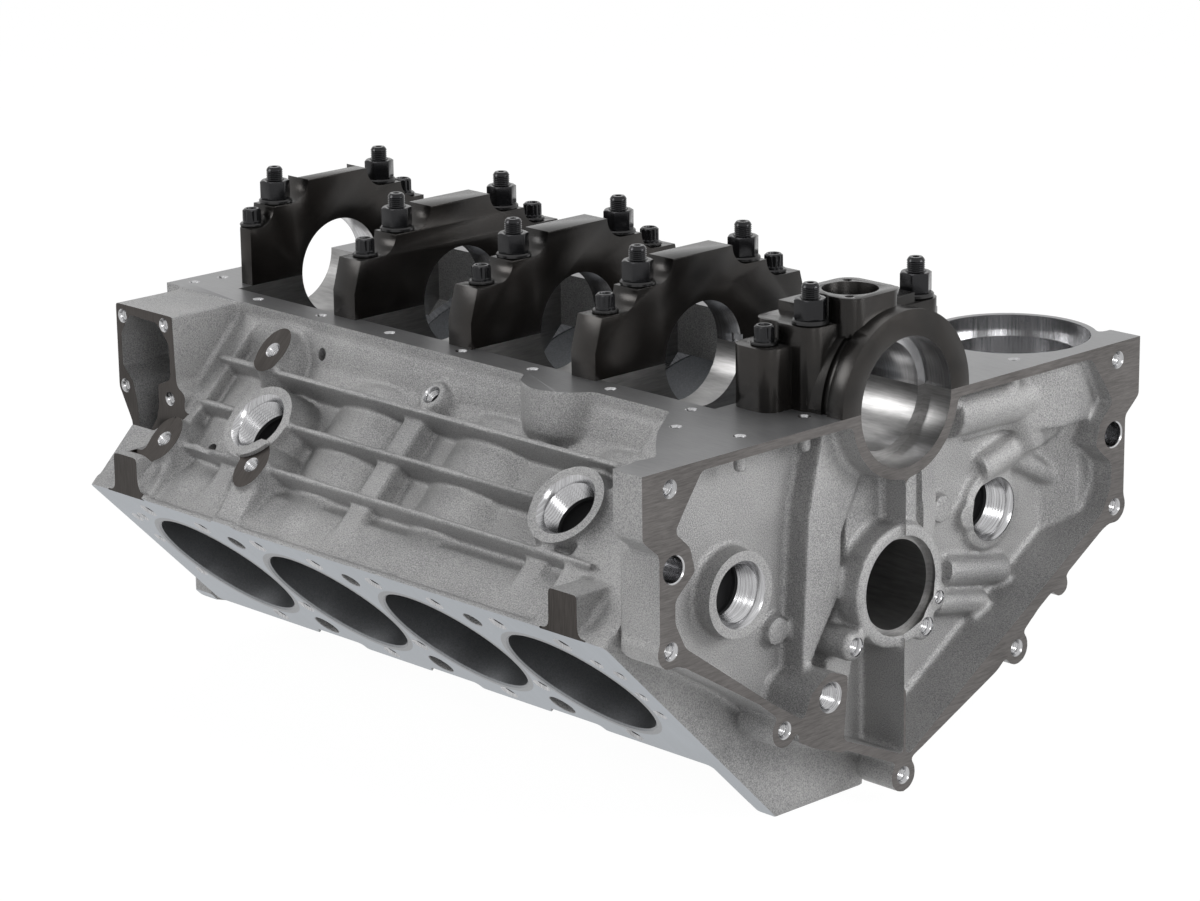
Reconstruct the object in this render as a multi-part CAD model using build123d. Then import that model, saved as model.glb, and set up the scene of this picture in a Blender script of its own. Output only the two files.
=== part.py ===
from build123d import *
import os
from math import radians, sin, cos, sqrt

# Bare V8 engine block with its pressed-in liners and its main bearing caps.
# It stands upside down, on the rails round its valley, as it is assembled on a bench.
# Origin: crank axis at the centre main bearing. +X runs to the bell housing face,
# +Z is up, away from the cylinders. Bank side -1 lies at -Y and side +1 at +Y.

# Layout of the cylinders
CYLINDERS_PER_BANK = 4
BORE_PITCH = 111.76
BANK_STAGGER = 11.18
BANK_TILT = 45.0
DECK_HEIGHT = 229.24
BORE_RADIUS = 50.8

# Liners
LINER_WALL = 3.1
LINER_FLANGE_EXTRA = 1.6
LINER_FLANGE_THICK = 6.0
LINER_BOTTOM = 96.0
BORE_OPENING = 90.0
LINER_CHAMFER = 1.2

# Outer form of the casting, along X
BANK_END_WALL = 75.18
FIRST_BORE_X = -(CYLINDERS_PER_BANK - 1) / 2 * BORE_PITCH - BANK_STAGGER
BANK_FRONT_X = FIRST_BORE_X - BANK_END_WALL
BANK_REAR_X = -BANK_FRONT_X
FRONT_FACE_X = BANK_FRONT_X - 21.0
BELL_FACE_X = BANK_REAR_X + 36.8
BELL_WALL_X = BANK_REAR_X + 2.0

# Banks: distances from the bore axis line towards the outside (+) or the valley (-)
OUTER_WALL = 72.0
OUTER_DECK_LIP = 73.5
DECK_LIP_THICK = 8.0
VALLEY_WALL = 72.0
DECK_SCALLOP = 6.0
DECK_SCALLOP_SHARE = 0.42
BANK_OVERLAP = 20.0
BARREL_BULGE_RADIUS = 60.0
BARREL_BULGE_REACH = 77.0
RIB_REACH = 78.5
RIB_THICK = 3.6
RIBS = ((119.5, -185.0, 190.0), (152.5, -178.0, 152.0), (184.5, -140.0, 214.0))
CORNER_PADS_X = (-204.0, 207.0)
PAD_LENGTH = 24.0

# Pan rail and crankcase
RAIL_HALF_WIDTH = 111.0
RAIL_DEPTH = 9.0
BAY_HALF_WIDTH = 89.0
WEB_THICK = 21.0
RAIL_HOLE_Y = 99.0
RAIL_HOLES_X = (-193.0, -128.0, -60.4, 7.7, 73.0, 141.5, 209.6)
RAIL_HOLE_RADIUS = 3.2
RAIL_HOLE_DEPTH = 20.0
DIPSTICK_BOSS = (102.7, 98.0)
LOBE_RADIUS = 32.5
LOBE_OFFSET = 6.0

# Main bearings and cam tunnel
MAIN_BORE_RADIUS = 33.54
MAIN_BOSS_RADIUS = 47.0
SEAL_BORE_RADIUS = 39.8
SEAL_BORE_DEPTH = 21.0
FRONT_MAIN_X = BANK_FRONT_X + 17.8
REAR_MAIN_FRONT_X = BELL_FACE_X - 71.8
CAM_DROP = 114.8
CAM_BORE_RADIUS = 28.0
CAM_BOSS_RADIUS = 38.5
CAM_TUNNEL_WALL = 8.0
CAM_MOUTH = (3.0, 8.0)
CAM_EAR_HOLES = ((-41.0, -143.0, 5.2), (22.0, -145.0, 5.2), (33.0, -129.0, 3.6))

# Holes in the decks: radius and depth, and for the water holes the distance from the bore line
HEAD_BOLT = (5.4, 34.0)
DECK_WATER = ((50.0, 6.5), (-52.0, 9.0))
DECK_WATER_DEPTH = 16.0
DECK_END_HOLE = (3.8, 14.0)

# Valley
VALLEY_FLOOR = 157.0
REAR_RAIL_DROP = 252.0
FRONT_RAIL_DROP = 236.0
REAR_RAIL_HALF = (74.0, 60.0)
FRONT_RAIL_HALF = 44.0
RAIL_WALL_THICK = 17.0
RAIL_SCOOP = (33.0, 22.0)
LIFTER_RADIUS = 10.7
LIFTER_BOSS_RADIUS = 16.0
LIFTER_BOSS_LENGTH = 96.0
LIFTER_SPACING = 44.0

# Core plug holes
PLUG_HOLE_RADIUS = 18.5
PLUG_RIM_RADIUS = 20.5
PLUG_BOSS_WALL = 6.0
PLUG_DEPTH = 25.0
PLUG_RIM_DEPTH = 4.0
PLUG_FACE = BARREL_BULGE_REACH + 3

# Engine mount bosses: place along the crank, place up the bore axis
MOUNT_BOSSES = ((-137.0, 107.0), (-181.5, 187.0), (-92.5, 187.0))
MOUNT_FACE = 81.0
MOUNT_WIDTH = 24.0
MOUNT_LENGTH = 33.0
MOUNT_HOLE_RADIUS = 4.6

# Water drain in the outer wall: place along the crank, place up the bore axis, radius
DRAIN = (7.7, 104.6, 5.6)

# Main caps
CAP_HEIGHT = 64.5
CAP_TOP_HALF = 26.0
CAP_NUT_LEVEL = 50.5
CAP_BOLT_LEVEL = 38.0
CAP_NUT_SHELF_Y = 56.5
CAP_HALF_WIDTH = 93.0
CAP_SHOULDER_Y = 87.0
STUD_Y = 46.2
STUD_RADIUS = 5.56
STUD_TIP = 75.0
STUD_ROOT = 45.0
OUTER_BOLT_Y = 74.0
OUTER_BOLT_RADIUS = 4.76
OUTER_BOLT_LENGTH = 68.0
OUTER_HEAD_RADIUS = 6.2
OUTER_HEAD_HEIGHT = 9.6
WASHER_RADIUS = 11.1
WASHER_THICK = 3.0
NUT_FLATS = 17.46
NUT_HEIGHT = 12.5
SMALL_WASHER_RADIUS = 8.2
SMALL_WASHER_THICK = 2.2
SPOTFACE_CLEARANCE = 0.5
HOLE_CLEARANCE = 0.25

# Front cap, narrower than the next three, with its front edges cut back
FRONT_CAP_HALF_WIDTH = 77.0
FRONT_BOLT_Y = 67.0
FRONT_CAP_BEVEL = (10.0, 7.0)

# Rear cap
REAR_CAP_BODY_X = BELL_FACE_X - 38.8
REAR_CAP_BOSS_X = BELL_FACE_X - 22.8
REAR_CAP_END_Y = 77.0
REAR_STUD_X = BELL_FACE_X - 34.8
REAR_BOLT = (BELL_FACE_X - 54.3, 65.0)
SEAL_FLANGE_RADIUS = 56.0
SEAL_FLANGE_X = BELL_FACE_X - 28.3
PUMP_PAD = (BELL_FACE_X - 33.8, -13.0, 66.0)
PUMP_PAD_SIZE = 46.0
PUMP_BORE_RADIUS = 17.0
PUMP_BORE_DEPTH = 20.0
PUMP_DRAIN_RADIUS = 5.6
SEAL_GROOVE = (11.0, 5.0, 2.5)
TANG_SLOT = (8.0, 5.0, 6.0)

# Bell housing face: bolt and dowel places, as half of the symmetric pattern
BELL_BOLT_Y = 197.8
BELL_BOLTS = ((BELL_BOLT_Y, -11.4), (BELL_BOLT_Y, -107.2), (104.6, -178.6))
BELL_LOWEST_BOLT = (0.0, -234.4)
BELL_DOWEL = (BELL_BOLT_Y - 2.7, -59.4)
PRY_LOBE = (146.0, -147.0)
BELL_BOLT_RADIUS = 4.4
BELL_DOWEL_RADIUS = 7.95
BELL_EAR_RADIUS = 10.5
BELL_EAR_LENGTH = 30.0
BELL_BOLT_DEPTH = 26.0
RIM_THICK = 24.0
LOW_RIM_THICK = 32.0
BELL_BOLT_EDGE = 8.7
LOW_RIM_HALF_WIDTH = BELL_BOLT_Y + BELL_BOLT_EDGE
RIM_OVERHANG = 13.0
RIM_HALF_WIDTH = LOW_RIM_HALF_WIDTH + RIM_OVERHANG
RIM_CORNER_SET_BACK = 11.8
FLARE_FOOT = 118.0
FLARE_WALL = 7.0
RIGHT_EDGE = [(BELL_BOLT_Y - 25.8, -118.0), (2.0, -224.0)]
STRIP_WIDTH = 30.0
DUCT_RADIUS = 15.0
GALLERY_HOLE = (-65.3, -168.0, 8.5)
REAR_PLUGS = ((-119.4, 21.0), (114.0, 29.8))
REAR_PLUG_Z = -96.5

# Levels inside the rim: how far the bosses root behind the wall, and how far the walls stay
# under the bell housing face
BOSS_ROOT = 8.0
CAM_FACE_SUNK = 3.0
CENTRE_WALL_SUNK = 20.0
CENTRE_RIB_SUNK = 8.0
FOOT_WALL_SUNK = 22.0
LEFT_WALL_SUNK = 17.0
RIGHT_WALL_SUNK = 14.0

# Core plugs of the -Y side: place along the crank, place up the bore axis
SIDE_PLUGS = ((-112.0, 157.0), (171.0, 153.5))

# Filter recess in the rail, on the +Y side
FILTER_CENTRE = (BELL_FACE_X - 62.8, 168.5)
FILTER_RIM_RADIUS = 50.4
FILTER_BORE_RADIUS = 42.5
FILTER_SHELF_DEPTH = 12.0
FILTER_DEPTH = 36.0
FILTER_WALL = 4.6

# Front face: timing cover bolts, and the water pump ports in the front ends of the banks
TIMING_BOLTS = ((79.0, -22.0), (77.0, -58.0), (66.0, -114.0), (45.0, -158.0))
TIMING_BOLT_RADIUS = 2.9
TIMING_RECESS_DEPTH = 13.0
FRONT_GALLERY_RADIUS = 6.0
PUMP_PORT = (88.0, -150.0)
PUMP_PORT_RADIUS = 15.0
PUMP_BOLT_STEP = 33.3
PUMP_BOLT_RADIUS = 4.4
PUMP_PAD_PROUD = 12.0

# Fuel pump pad on the -Y side, near the front
FUEL_PAD_Y = 166.5
FUEL_POCKET_DEPTH = 40.0
FUEL_HOLE_RADIUS = 3.9
FUEL_PAD_HOLES = ((-251.5, -9.0), (-207.5, -8.0), (-251.5, -56.5), (-204.0, -57.0))

CENTRED_UP = (Align.CENTER, Align.CENTER, Align.MIN)
HALF_PITCH = BORE_PITCH / 2
LINER_OUTER_RADIUS = BORE_RADIUS + LINER_WALL
CAP_PLACES_X = (FRONT_MAIN_X, -BORE_PITCH, 0.0, BORE_PITCH)


def rod(radius, length, axis_start, direction):
    """A round bar from a point along a direction."""
    return Plane(origin=axis_start, z_dir=direction) * Cylinder(radius, length, align=CENTRED_UP)


def prism_x(points, x0, x1):
    """A profile of (y, z) points, drawn out from x0 to x1."""
    face = make_face(Polyline(*points, close=True))
    return extrude(Plane.YZ.offset(x0) * face, x1 - x0)


def mirrored(points):
    """The same (y, z) points on the other side, in reverse order."""
    return [(-y, z) for y, z in reversed(points)]


def bank_plane(side):
    """Local z runs up the bore axis from the crank axis, local x along the crank."""
    tilt = radians(BANK_TILT)
    return Plane(origin=(0, 0, 0), x_dir=(1, 0, 0), z_dir=(0, side * sin(tilt), -cos(tilt)))


def bank_place(side, x, outward, along):
    """A location in a bank: outward is towards the outer wall, along is up the bore axis."""
    return bank_plane(side) * Pos(x, -side * outward, along)


def outward_rod(side, x, along, start, end, radius):
    """A round bar that leaves the outer wall of a bank squarely."""
    tilt = radians(BANK_TILT)
    base = bank_place(side, x, start, along)
    return rod(radius, end - start, base.position, (0, side * cos(tilt), sin(tilt)))


def bore_places(side):
    """Crank-wise places of the bores of one bank."""
    shift = BANK_STAGGER * -side
    first = -(CYLINDERS_PER_BANK - 1) / 2 * BORE_PITCH
    return [first + shift + i * BORE_PITCH for i in range(CYLINDERS_PER_BANK)]


def bank_ends(side):
    """Where the casting of one bank begins and ends along the crank."""
    bores = bore_places(side)
    return bores[0] - BANK_END_WALL, bores[-1] + BANK_END_WALL


def wall_point(side, outward, along):
    """(y, z) of a point in a bank's cross-section."""
    tilt = radians(BANK_TILT)
    return (side * (along * sin(tilt) + outward * cos(tilt)), -along * cos(tilt) + outward * sin(tilt))


def crankcase():
    """The crankcase under the flat pan rail, down to where the two banks part."""
    rail_foot = sqrt(2) * RAIL_DEPTH
    root = sqrt(2) * VALLEY_FLOOR - VALLEY_WALL
    half = [
        (RAIL_HALF_WIDTH, 0),
        (RAIL_HALF_WIDTH, -RAIL_DEPTH),
        wall_point(1, OUTER_WALL, OUTER_WALL + rail_foot),
        wall_point(1, OUTER_WALL, root),
        wall_point(1, -VALLEY_WALL, root),
    ]
    return prism_x(half + mirrored(half), BANK_FRONT_X, BANK_REAR_X)


def bank(side):
    """One bank of cylinders, set back from the other by the stagger of the bores."""
    root = sqrt(2) * VALLEY_FLOOR - VALLEY_WALL - BANK_OVERLAP
    outline = [
        wall_point(side, OUTER_WALL, root),
        wall_point(side, OUTER_WALL, DECK_HEIGHT - DECK_LIP_THICK),
        wall_point(side, OUTER_DECK_LIP, DECK_HEIGHT - DECK_LIP_THICK),
        wall_point(side, OUTER_DECK_LIP, DECK_HEIGHT),
        wall_point(side, -VALLEY_WALL, DECK_HEIGHT),
        wall_point(side, -VALLEY_WALL, root),
    ]
    return prism_x(outline, *bank_ends(side))


def barrel_bulges(side):
    """The walls swell outwards over each cylinder, between the deck and the rail."""
    bottom, top = LINER_BOTTOM + 12, DECK_HEIGHT - DECK_LIP_THICK
    centre = BARREL_BULGE_REACH - BARREL_BULGE_RADIUS
    bulges = []
    for x in bore_places(side):
        shell = Cylinder(BARREL_BULGE_RADIUS, top - bottom, align=CENTRED_UP)
        bulges.append(bank_place(side, x, centre, bottom) * shell)
    return bulges


def side_ribs(side):
    """Long thin ribs along the outer wall."""
    ribs = []
    for along, x0, x1 in RIBS:
        bar = Box(x1 - x0, 2 * (RIB_REACH - OUTER_WALL), RIB_THICK)
        ribs.append(bank_place(side, (x0 + x1) / 2, OUTER_WALL, along) * bar)
    return ribs


def wall_plane(side, x, along, height):
    """A plane parallel to a bank's outer wall: local x along the crank, local y towards the rail."""
    tilt = radians(BANK_TILT)
    base = bank_place(side, x, height, along)
    return Plane(origin=base.position, x_dir=(side, 0, 0), z_dir=(0, side * cos(tilt), sin(tilt)))


def mount_bosses(side):
    """Three oval bosses for the engine mount, the lower two on ridges that run to the deck."""
    foot = OUTER_WALL - 12
    ridge_depth = MOUNT_FACE - 4 - foot
    bosses = []
    for x, along in MOUNT_BOSSES:
        oval = Rot(0, 0, 90) * SlotOverall(MOUNT_LENGTH, MOUNT_WIDTH)
        bosses.append(wall_plane(side, x, along, foot) * extrude(oval, MOUNT_FACE - foot))
        collar = extrude(Circle(0.72 * MOUNT_LENGTH), OUTER_WALL + 2 - foot)
        bosses.append(wall_plane(side, x, along, foot) * collar)
    for x, along in MOUNT_BOSSES[1:]:
        length = DECK_HEIGHT - along
        ridge = Box(MOUNT_WIDTH - 4, ridge_depth, length, align=(Align.CENTER, Align.CENTER, Align.MIN))
        bosses.append(bank_place(side, x, foot + ridge_depth / 2, along) * ridge)
    return bosses


def corner_pads(side):
    """Square machined pads with upright faces at both ends of the bank's outer edge."""
    edge_y, edge_z = wall_point(1, OUTER_DECK_LIP, DECK_HEIGHT)
    height, root = 26.5, 40.0
    outline = [(edge_y, edge_z), (edge_y, edge_z + height), (edge_y - root, edge_z + height),
               (edge_y - root, edge_z)]
    outline = [(side * y, z) for y, z in outline]
    return [prism_x(outline, x, x + PAD_LENGTH) for x in CORNER_PADS_X]


def side_plug_places(side):
    """Where the core plugs sit in an outer wall; they are set back with the bores of their bank."""
    set_back = BANK_STAGGER * (side + 1)
    return [(x - set_back, along) for x, along in SIDE_PLUGS]


def side_plug_bosses(side):
    """Round bosses on the outer wall for the threaded core plugs."""
    radius = PLUG_RIM_RADIUS + PLUG_BOSS_WALL
    return [outward_rod(side, x, along, OUTER_WALL - 15, PLUG_FACE, radius)
            for x, along in side_plug_places(side)]


def rail_lobe(side):
    """A round boss under the rail beside the third bay."""
    x, y = DIPSTICK_BOSS
    return rod(LOBE_RADIUS, 34.0, (x + LOBE_OFFSET, side * y, 0), (0, 0, -1))


def bell_outline():
    """Outer edge of the bell housing face, without its ears."""
    half = [(0, 0), (RIM_HALF_WIDTH, 0), (RIM_HALF_WIDTH, -38), (LOW_RIM_HALF_WIDTH, -49),
            (LOW_RIM_HALF_WIDTH, -112)] + bell_lower_edge()
    return half + mirrored(half[1:-1])


def bell_lower_edge():
    """Lower outer edge of the bell housing face, from the side down to the middle."""
    corner_y = BELL_BOLT_Y - RIM_CORNER_SET_BACK
    return [(corner_y, -120), (126, -157), (86, -189), (18, -220), (0, -228)]


def bell_ears():
    """Places of the bolts that stand on rounded ears, with the pry lobe."""
    ears = [(side * y, z) for y, z in BELL_BOLTS for side in (-1, 1)]
    return ears + [BELL_LOWEST_BOLT]


def flare_line():
    """Plan (x, half width) of the walls that flare from the narrow crankcase to the rim's back."""
    rim_back = BELL_FACE_X - RIM_THICK
    steps = [(37, 50.8), (21.2, 33.8), (0, 13.2)]
    return [(rim_back - 62.8, RAIL_HALF_WIDTH)] + [(rim_back - x, BELL_BOLT_Y - y) for x, y in steps]


def bell_body():
    """The rim without its hollow: its face plate, thicker low sides, closing wall and flared sides."""
    rim_back, wall_back = BELL_FACE_X - RIM_THICK, BELL_WALL_X - 10
    body = prism_x(bell_outline(), rim_back, BELL_FACE_X)
    wall_half = flare_line()[-2][1]
    wall = [(0, 0), (wall_half, 0), (wall_half, -FLARE_FOOT)] + bell_lower_edge()
    body += prism_x(wall + mirrored(wall[1:-1]), wall_back, rim_back + 1)
    root = RAIL_HALF_WIDTH - 30
    for side in (-1, 1):
        low = [(root, -49), (LOW_RIM_HALF_WIDTH, -49), (LOW_RIM_HALF_WIDTH, -112), bell_lower_edge()[0],
               (root, -120)]
        body += prism_x([(side * y, z) for y, z in low], BELL_FACE_X - LOW_RIM_THICK, rim_back + 1)
        plan = [(flare_line()[0][0], root)] + flare_line() + [(rim_back, root)]
        plan = make_face(Polyline(*[(x, side * y) for x, y in plan], close=True))
        body += extrude(plan, -FLARE_FOOT, dir=(0, 0, 1))
    for y, z in bell_ears():
        body += rod(BELL_EAR_RADIUS, BELL_EAR_LENGTH, (BELL_FACE_X - BELL_EAR_LENGTH, y, z), (1, 0, 0))
    y, z = PRY_LOBE
    return body + rod(7, BELL_EAR_LENGTH, (BELL_FACE_X - BELL_EAR_LENGTH, y, z), (1, 0, 0))


def bell_flange():
    """The rim that carries the bell housing, hollowed so that its sides keep an even wall."""
    rim_back = BELL_FACE_X - RIM_THICK
    (knee_x, knee_y), (end_x, end_y) = flare_line()[-2:]
    slope = (end_y - knee_y) / (end_x - knee_x)
    inner = knee_y - FLARE_WALL * sqrt(1 + slope ** 2)
    floor_x, reach = rim_back + FLARE_WALL, RIM_HALF_WIDTH
    half = [(x, inner + slope * (x - knee_x)) for x in (BELL_WALL_X, floor_x)]
    half += [(floor_x, reach), (BELL_FACE_X + 1, reach)]
    plan = make_face(Polyline(*half, *[(x, -y) for x, y in reversed(half)], close=True))
    room = Pos(0, 0, 1) * extrude(plan, -BELL_FACE_X, dir=(0, 0, 1))
    sides = [make_face(Polyline(*bell_recess(side), close=True)) for side in (1, -1)]
    hollow = extrude(Plane.YZ.offset(BELL_WALL_X) * (sides[0] + sides[1]), BELL_FACE_X - BELL_WALL_X + 1)
    return bell_body() - (hollow & room)


def bell_recess(side):
    """Inner edge of the rim on one side of the crank axis; it swells round the bolts and the dowel."""
    steps = [(25.8, -6), (10.8, -27), (3.8, -38), (15.8, -49), (19.8, -64), (3.8, -78), (3.8, -92),
             (RIM_CORNER_SET_BACK, -108)]
    edge = [(0, -6)] + [(BELL_BOLT_Y - set_back, z) for set_back, z in steps]
    left = [(114, -160), (92, -174), (56, -197), (0, -221)]
    return [(side * y, z) for y, z in edge + (left if side < 0 else RIGHT_EDGE)]


def right_strip():
    """The sloping band inside the rim's lower right edge, from the face down to the wall."""
    (y0, z0), (y1, z1) = RIGHT_EDGE[0], RIGHT_EDGE[-1]
    run = Vector(0, y1 - y0, z1 - z0)
    plane = Plane(origin=(0, y0, z0), x_dir=(1, 0, 0), z_dir=run.normalized())
    corners = [(BELL_WALL_X - 1, 0), (BELL_FACE_X - 3, 0), (BELL_WALL_X - 1, -STRIP_WIDTH)]
    return plane * extrude(make_face(Polyline(*corners, close=True)), run.length)


def rear_face_bosses():
    """Bosses inside the bell rim: main bearing, cam bearing, oil gallery and core plugs."""
    start = BELL_WALL_X - BOSS_ROOT
    main = rod(MAIN_BOSS_RADIUS, BELL_FACE_X - start, (start, 0, 0), (1, 0, 0))
    main -= Pos(0, 0, MAIN_BOSS_RADIUS) * Box(3 * BELL_FACE_X, 3 * MAIN_BOSS_RADIUS, 2 * MAIN_BOSS_RADIUS)
    cam_face = BELL_FACE_X - CAM_FACE_SUNK
    cam = rod(CAM_BOSS_RADIUS, cam_face - start, (start, 0, -CAM_DROP), (1, 0, 0))
    cam_ears = [rod(9.5, cam_face - start, (start, y, z), (1, 0, 0)) for y, z, _ in CAM_EAR_HOLES]
    gallery_face = [(-93, -189), (-82, -162), (-66, -152), (-50, -158), (-54, -206), (-80, -196)]
    gallery = prism_x(gallery_face, start, BELL_FACE_X)
    plugs = []
    for side, (y, face) in zip((-1, 1), rear_plug_faces()):
        root = bank_ends(side)[1] - 6
        plugs.append(rod(PLUG_RIM_RADIUS + PLUG_BOSS_WALL, face - root, (root, y, REAR_PLUG_Z), (1, 0, 0)))
    low_back = BELL_FACE_X - LOW_RIM_THICK
    dowels = [rod(13.5, LOW_RIM_THICK, (low_back, side * BELL_DOWEL[0], BELL_DOWEL[1]), (1, 0, 0))
              & prism_x(bell_outline(), low_back, BELL_FACE_X) for side in (-1, 1)]
    columns = [rod(12.0, STUD_ROOT + 8, (REAR_STUD_X, side * STUD_Y, 0), (0, 0, -1)) for side in (-1, 1)]
    return [main, cam, gallery] + rear_walls() + rear_ridges() + cam_ears + plugs + dowels + columns


def rear_plug_faces():
    """Places (y, x of the face) of the two plug bosses inside the rim."""
    return [(y, BELL_FACE_X - sunk) for y, sunk in REAR_PLUGS]


def rear_walls():
    """Walls that run between the bosses inside the rim, each drawn out to its own level."""
    centre = [(-27, -40), (27, -40), (30, -CAM_DROP), (-34, -CAM_DROP)]
    rib = [(8, -40), (20, -40), (20, -CAM_DROP + 30), (8, -CAM_DROP + 30)]
    foot = [(-34, -CAM_DROP), (-12, -CAM_DROP), (-34, -215), (-58, -206)]
    left = [(-52, -2), (-26, -2), (-22, -46), (-38, -78), (-38, -112), (-60, -146), (-72, -165), (-66, -60)]
    right = [(27, -30), (42, -20), (44, -86), (34, -CAM_DROP)]
    levels = [(centre, CENTRE_WALL_SUNK), (rib, CENTRE_RIB_SUNK), (foot, FOOT_WALL_SUNK),
              (left, LEFT_WALL_SUNK), (right, RIGHT_WALL_SUNK)]
    walls = [prism_x(points, BELL_WALL_X - BOSS_ROOT, BELL_FACE_X - sunk) for points, sunk in levels]
    return walls + [right_strip()]


def rear_ridges():
    """Rounded ridges and lumps on the floor inside the rim, with the oil duct from the filter."""
    floor = BELL_WALL_X + 1
    duct = rod(DUCT_RADIUS, 78, (floor + 4, 70, -27), (0, 1, -0.02))
    duct += rod(DUCT_RADIUS - 4, 24, (floor + 6, 138, -38), (0, 0.35, -1))
    upper = rod(10, 92, (floor, 103, -70), (0, 0.95, 0.24))
    middle = rod(9, 58, (floor, 72, -128), (0, 0.98, -0.2))
    lower = rod(8, 46, (floor, 64, -147), (0, 0.98, -0.2))
    slant = rod(7, 48, (floor, 136, -68), (0, 0.88, -0.47))
    lumps = [rod(9, 14, (floor - BOSS_ROOT, y, z), (1, 0, 0))
             for y, z in ((92, -96), (104, -163), (-80, -130), (66, -86))]
    return [duct, upper, middle, lower, slant] + lumps


def valley_end_rail(side, x0, x1, drop, half_width):
    """Half of the wall across one end of the valley, down to its machined rail."""
    deck_y, deck_z = wall_point(1, -VALLEY_WALL, DECK_HEIGHT)
    half = [(-5, -VALLEY_FLOOR + 25), (deck_y, deck_z + 40), (deck_y, deck_z), (half_width, -drop),
            (-5, -drop)]
    return prism_x([(side * y, z) for y, z in half], x0, x1)


def valley_end_rails():
    """The rails at both ends of the valley; the rear one steps with the stagger of the banks."""
    rails = []
    for side, half_width in zip((-1, 1), REAR_RAIL_HALF):
        end = bank_ends(side)[1]
        rails.append(valley_end_rail(side, end - RAIL_WALL_THICK, end, REAR_RAIL_DROP, half_width))
        rails.append(valley_end_rail(side, BANK_FRONT_X - 2, BANK_FRONT_X + RAIL_WALL_THICK,
                                     FRONT_RAIL_DROP, FRONT_RAIL_HALF))
    step = BANK_REAR_X - bank_ends(1)[1]
    joint = Box(step + RAIL_WALL_THICK, 10, REAR_RAIL_DROP - VALLEY_FLOOR + 25,
                align=(Align.MAX, Align.CENTER, Align.MIN))
    rails.append(Pos(BANK_REAR_X, 0, -REAR_RAIL_DROP) * joint)
    return rails


def lifter_bosses(side):
    """Round bosses along the valley wall, one for each valve lifter."""
    tilt = radians(BANK_TILT)
    axis = (0, side * sin(tilt), -cos(tilt))
    bosses = [rod(LIFTER_BOSS_RADIUS, LIFTER_BOSS_LENGTH, (x + step, 0, -CAM_DROP), axis)
              for x in bore_places(side) for step in (-LIFTER_SPACING / 2, LIFTER_SPACING / 2)]
    return bosses


def filter_housing():
    """The cup that hangs under the rail at its rear corner for the oil filter."""
    x, y = FILTER_CENTRE
    cup = rod(FILTER_RIM_RADIUS + FILTER_WALL, FILTER_DEPTH + 12, (x, y, 0), (0, 0, -1))
    plan = [(x - 48, 90), (x - 48, y), (x + 40, y + 50), (BELL_WALL_X + 4, y + 50), (BELL_WALL_X + 4, 90)]
    return cup + extrude(make_face(Polyline(*plan, close=True)), -(FILTER_DEPTH + 12), dir=(0, 0, 1))


def timing_face():
    """The flat front face behind the timing cover, with its sunk middle."""
    half = [(0, 0), (RAIL_HALF_WIDTH, 0), (RAIL_HALF_WIDTH, -RAIL_DEPTH), (88, -RAIL_DEPTH - 6),
            (84, -60), (72, -118), (48, -164), (0, -182)]
    return prism_x(half + mirrored(half[1:-1]), FRONT_FACE_X, BANK_FRONT_X + 1)


def timing_recess():
    """The sunk middle of the timing face, round the main and cam bearings."""
    half = [(0, -2), (70, -14), (70, -56), (60, -110), (40, -152), (0, -168)]
    cut = prism_x(half + mirrored(half[1:-1]), FRONT_FACE_X - 1, FRONT_FACE_X + TIMING_RECESS_DEPTH)
    cut -= rod(MAIN_BOSS_RADIUS, 30, (FRONT_FACE_X - 2, 0, 0), (1, 0, 0))
    cut -= rod(CAM_BOSS_RADIUS, 30, (FRONT_FACE_X - 2, 0, -CAM_DROP), (1, 0, 0))
    return cut


def water_pump_pads():
    """Two upright pads on the front ends of the banks, where the water pump bolts on."""
    pads = []
    for side in (-1, 1):
        bank_front = bank_ends(side)[0]
        depth = bank_front + 4 - (BANK_FRONT_X - PUMP_PAD_PROUD)
        pad = Box(depth, 44, 92, align=(Align.MIN, Align.CENTER, Align.CENTER))
        pads.append(Pos(BANK_FRONT_X - PUMP_PAD_PROUD, side * PUMP_PORT[0], PUMP_PORT[1]) * pad)
    return pads


def fuel_pump_housing():
    """An upright pad on the front of the -Y side, solid until its pocket is cut."""
    outline = [(-258.3, -1), (-198.4, -1), (-196.2, -47), (-187.5, -52), (-189.3, -63), (-199.5, -73),
               (-216.2, -82), (-232, -97), (-246, -97.5), (-246, -80), (-258.3, -58)]
    face = make_face(Polyline(*outline, close=True))
    return extrude(Plane.XZ.offset(FUEL_PAD_Y) * face, -(FUEL_PAD_Y - 84))


def fuel_pump_pocket():
    """The pocket inside the pad; the rim widens round the four bolt holes."""
    outline = [(-244, -7), (-215, -8), (-203, -20), (-202.5, -44), (-216, -49), (-216, -72), (-228, -88),
               (-237, -88), (-239, -66), (-243, -52), (-253, -43), (-253, -20)]
    face = make_face(Polyline(*outline, close=True))
    return extrude(Plane.XZ.offset(FUEL_PAD_Y + 1) * face, -(FUEL_POCKET_DEPTH + 1))


def crank_bays():
    """The four spaces between the bearing webs, open at the rail."""
    mains = [FRONT_MAIN_X, -BORE_PITCH, 0.0, BORE_PITCH, REAR_MAIN_FRONT_X + WEB_THICK / 2]
    floor = sqrt(2) * BORE_OPENING
    tunnel_half = 34.0
    half = [(BAY_HALF_WIDTH, 1), (BAY_HALF_WIDTH, BAY_HALF_WIDTH - floor),
            (tunnel_half, tunnel_half - floor)]
    tunnel = rod(CAM_BORE_RADIUS + CAM_TUNNEL_WALL, BELL_FACE_X - FRONT_FACE_X,
                 (FRONT_FACE_X, 0, -CAM_DROP), (1, 0, 0))
    bays = []
    for a, b in zip(mains, mains[1:]):
        bays.append(prism_x(half + mirrored(half), a + WEB_THICK / 2, b - WEB_THICK / 2) - tunnel)
    return bays


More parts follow.
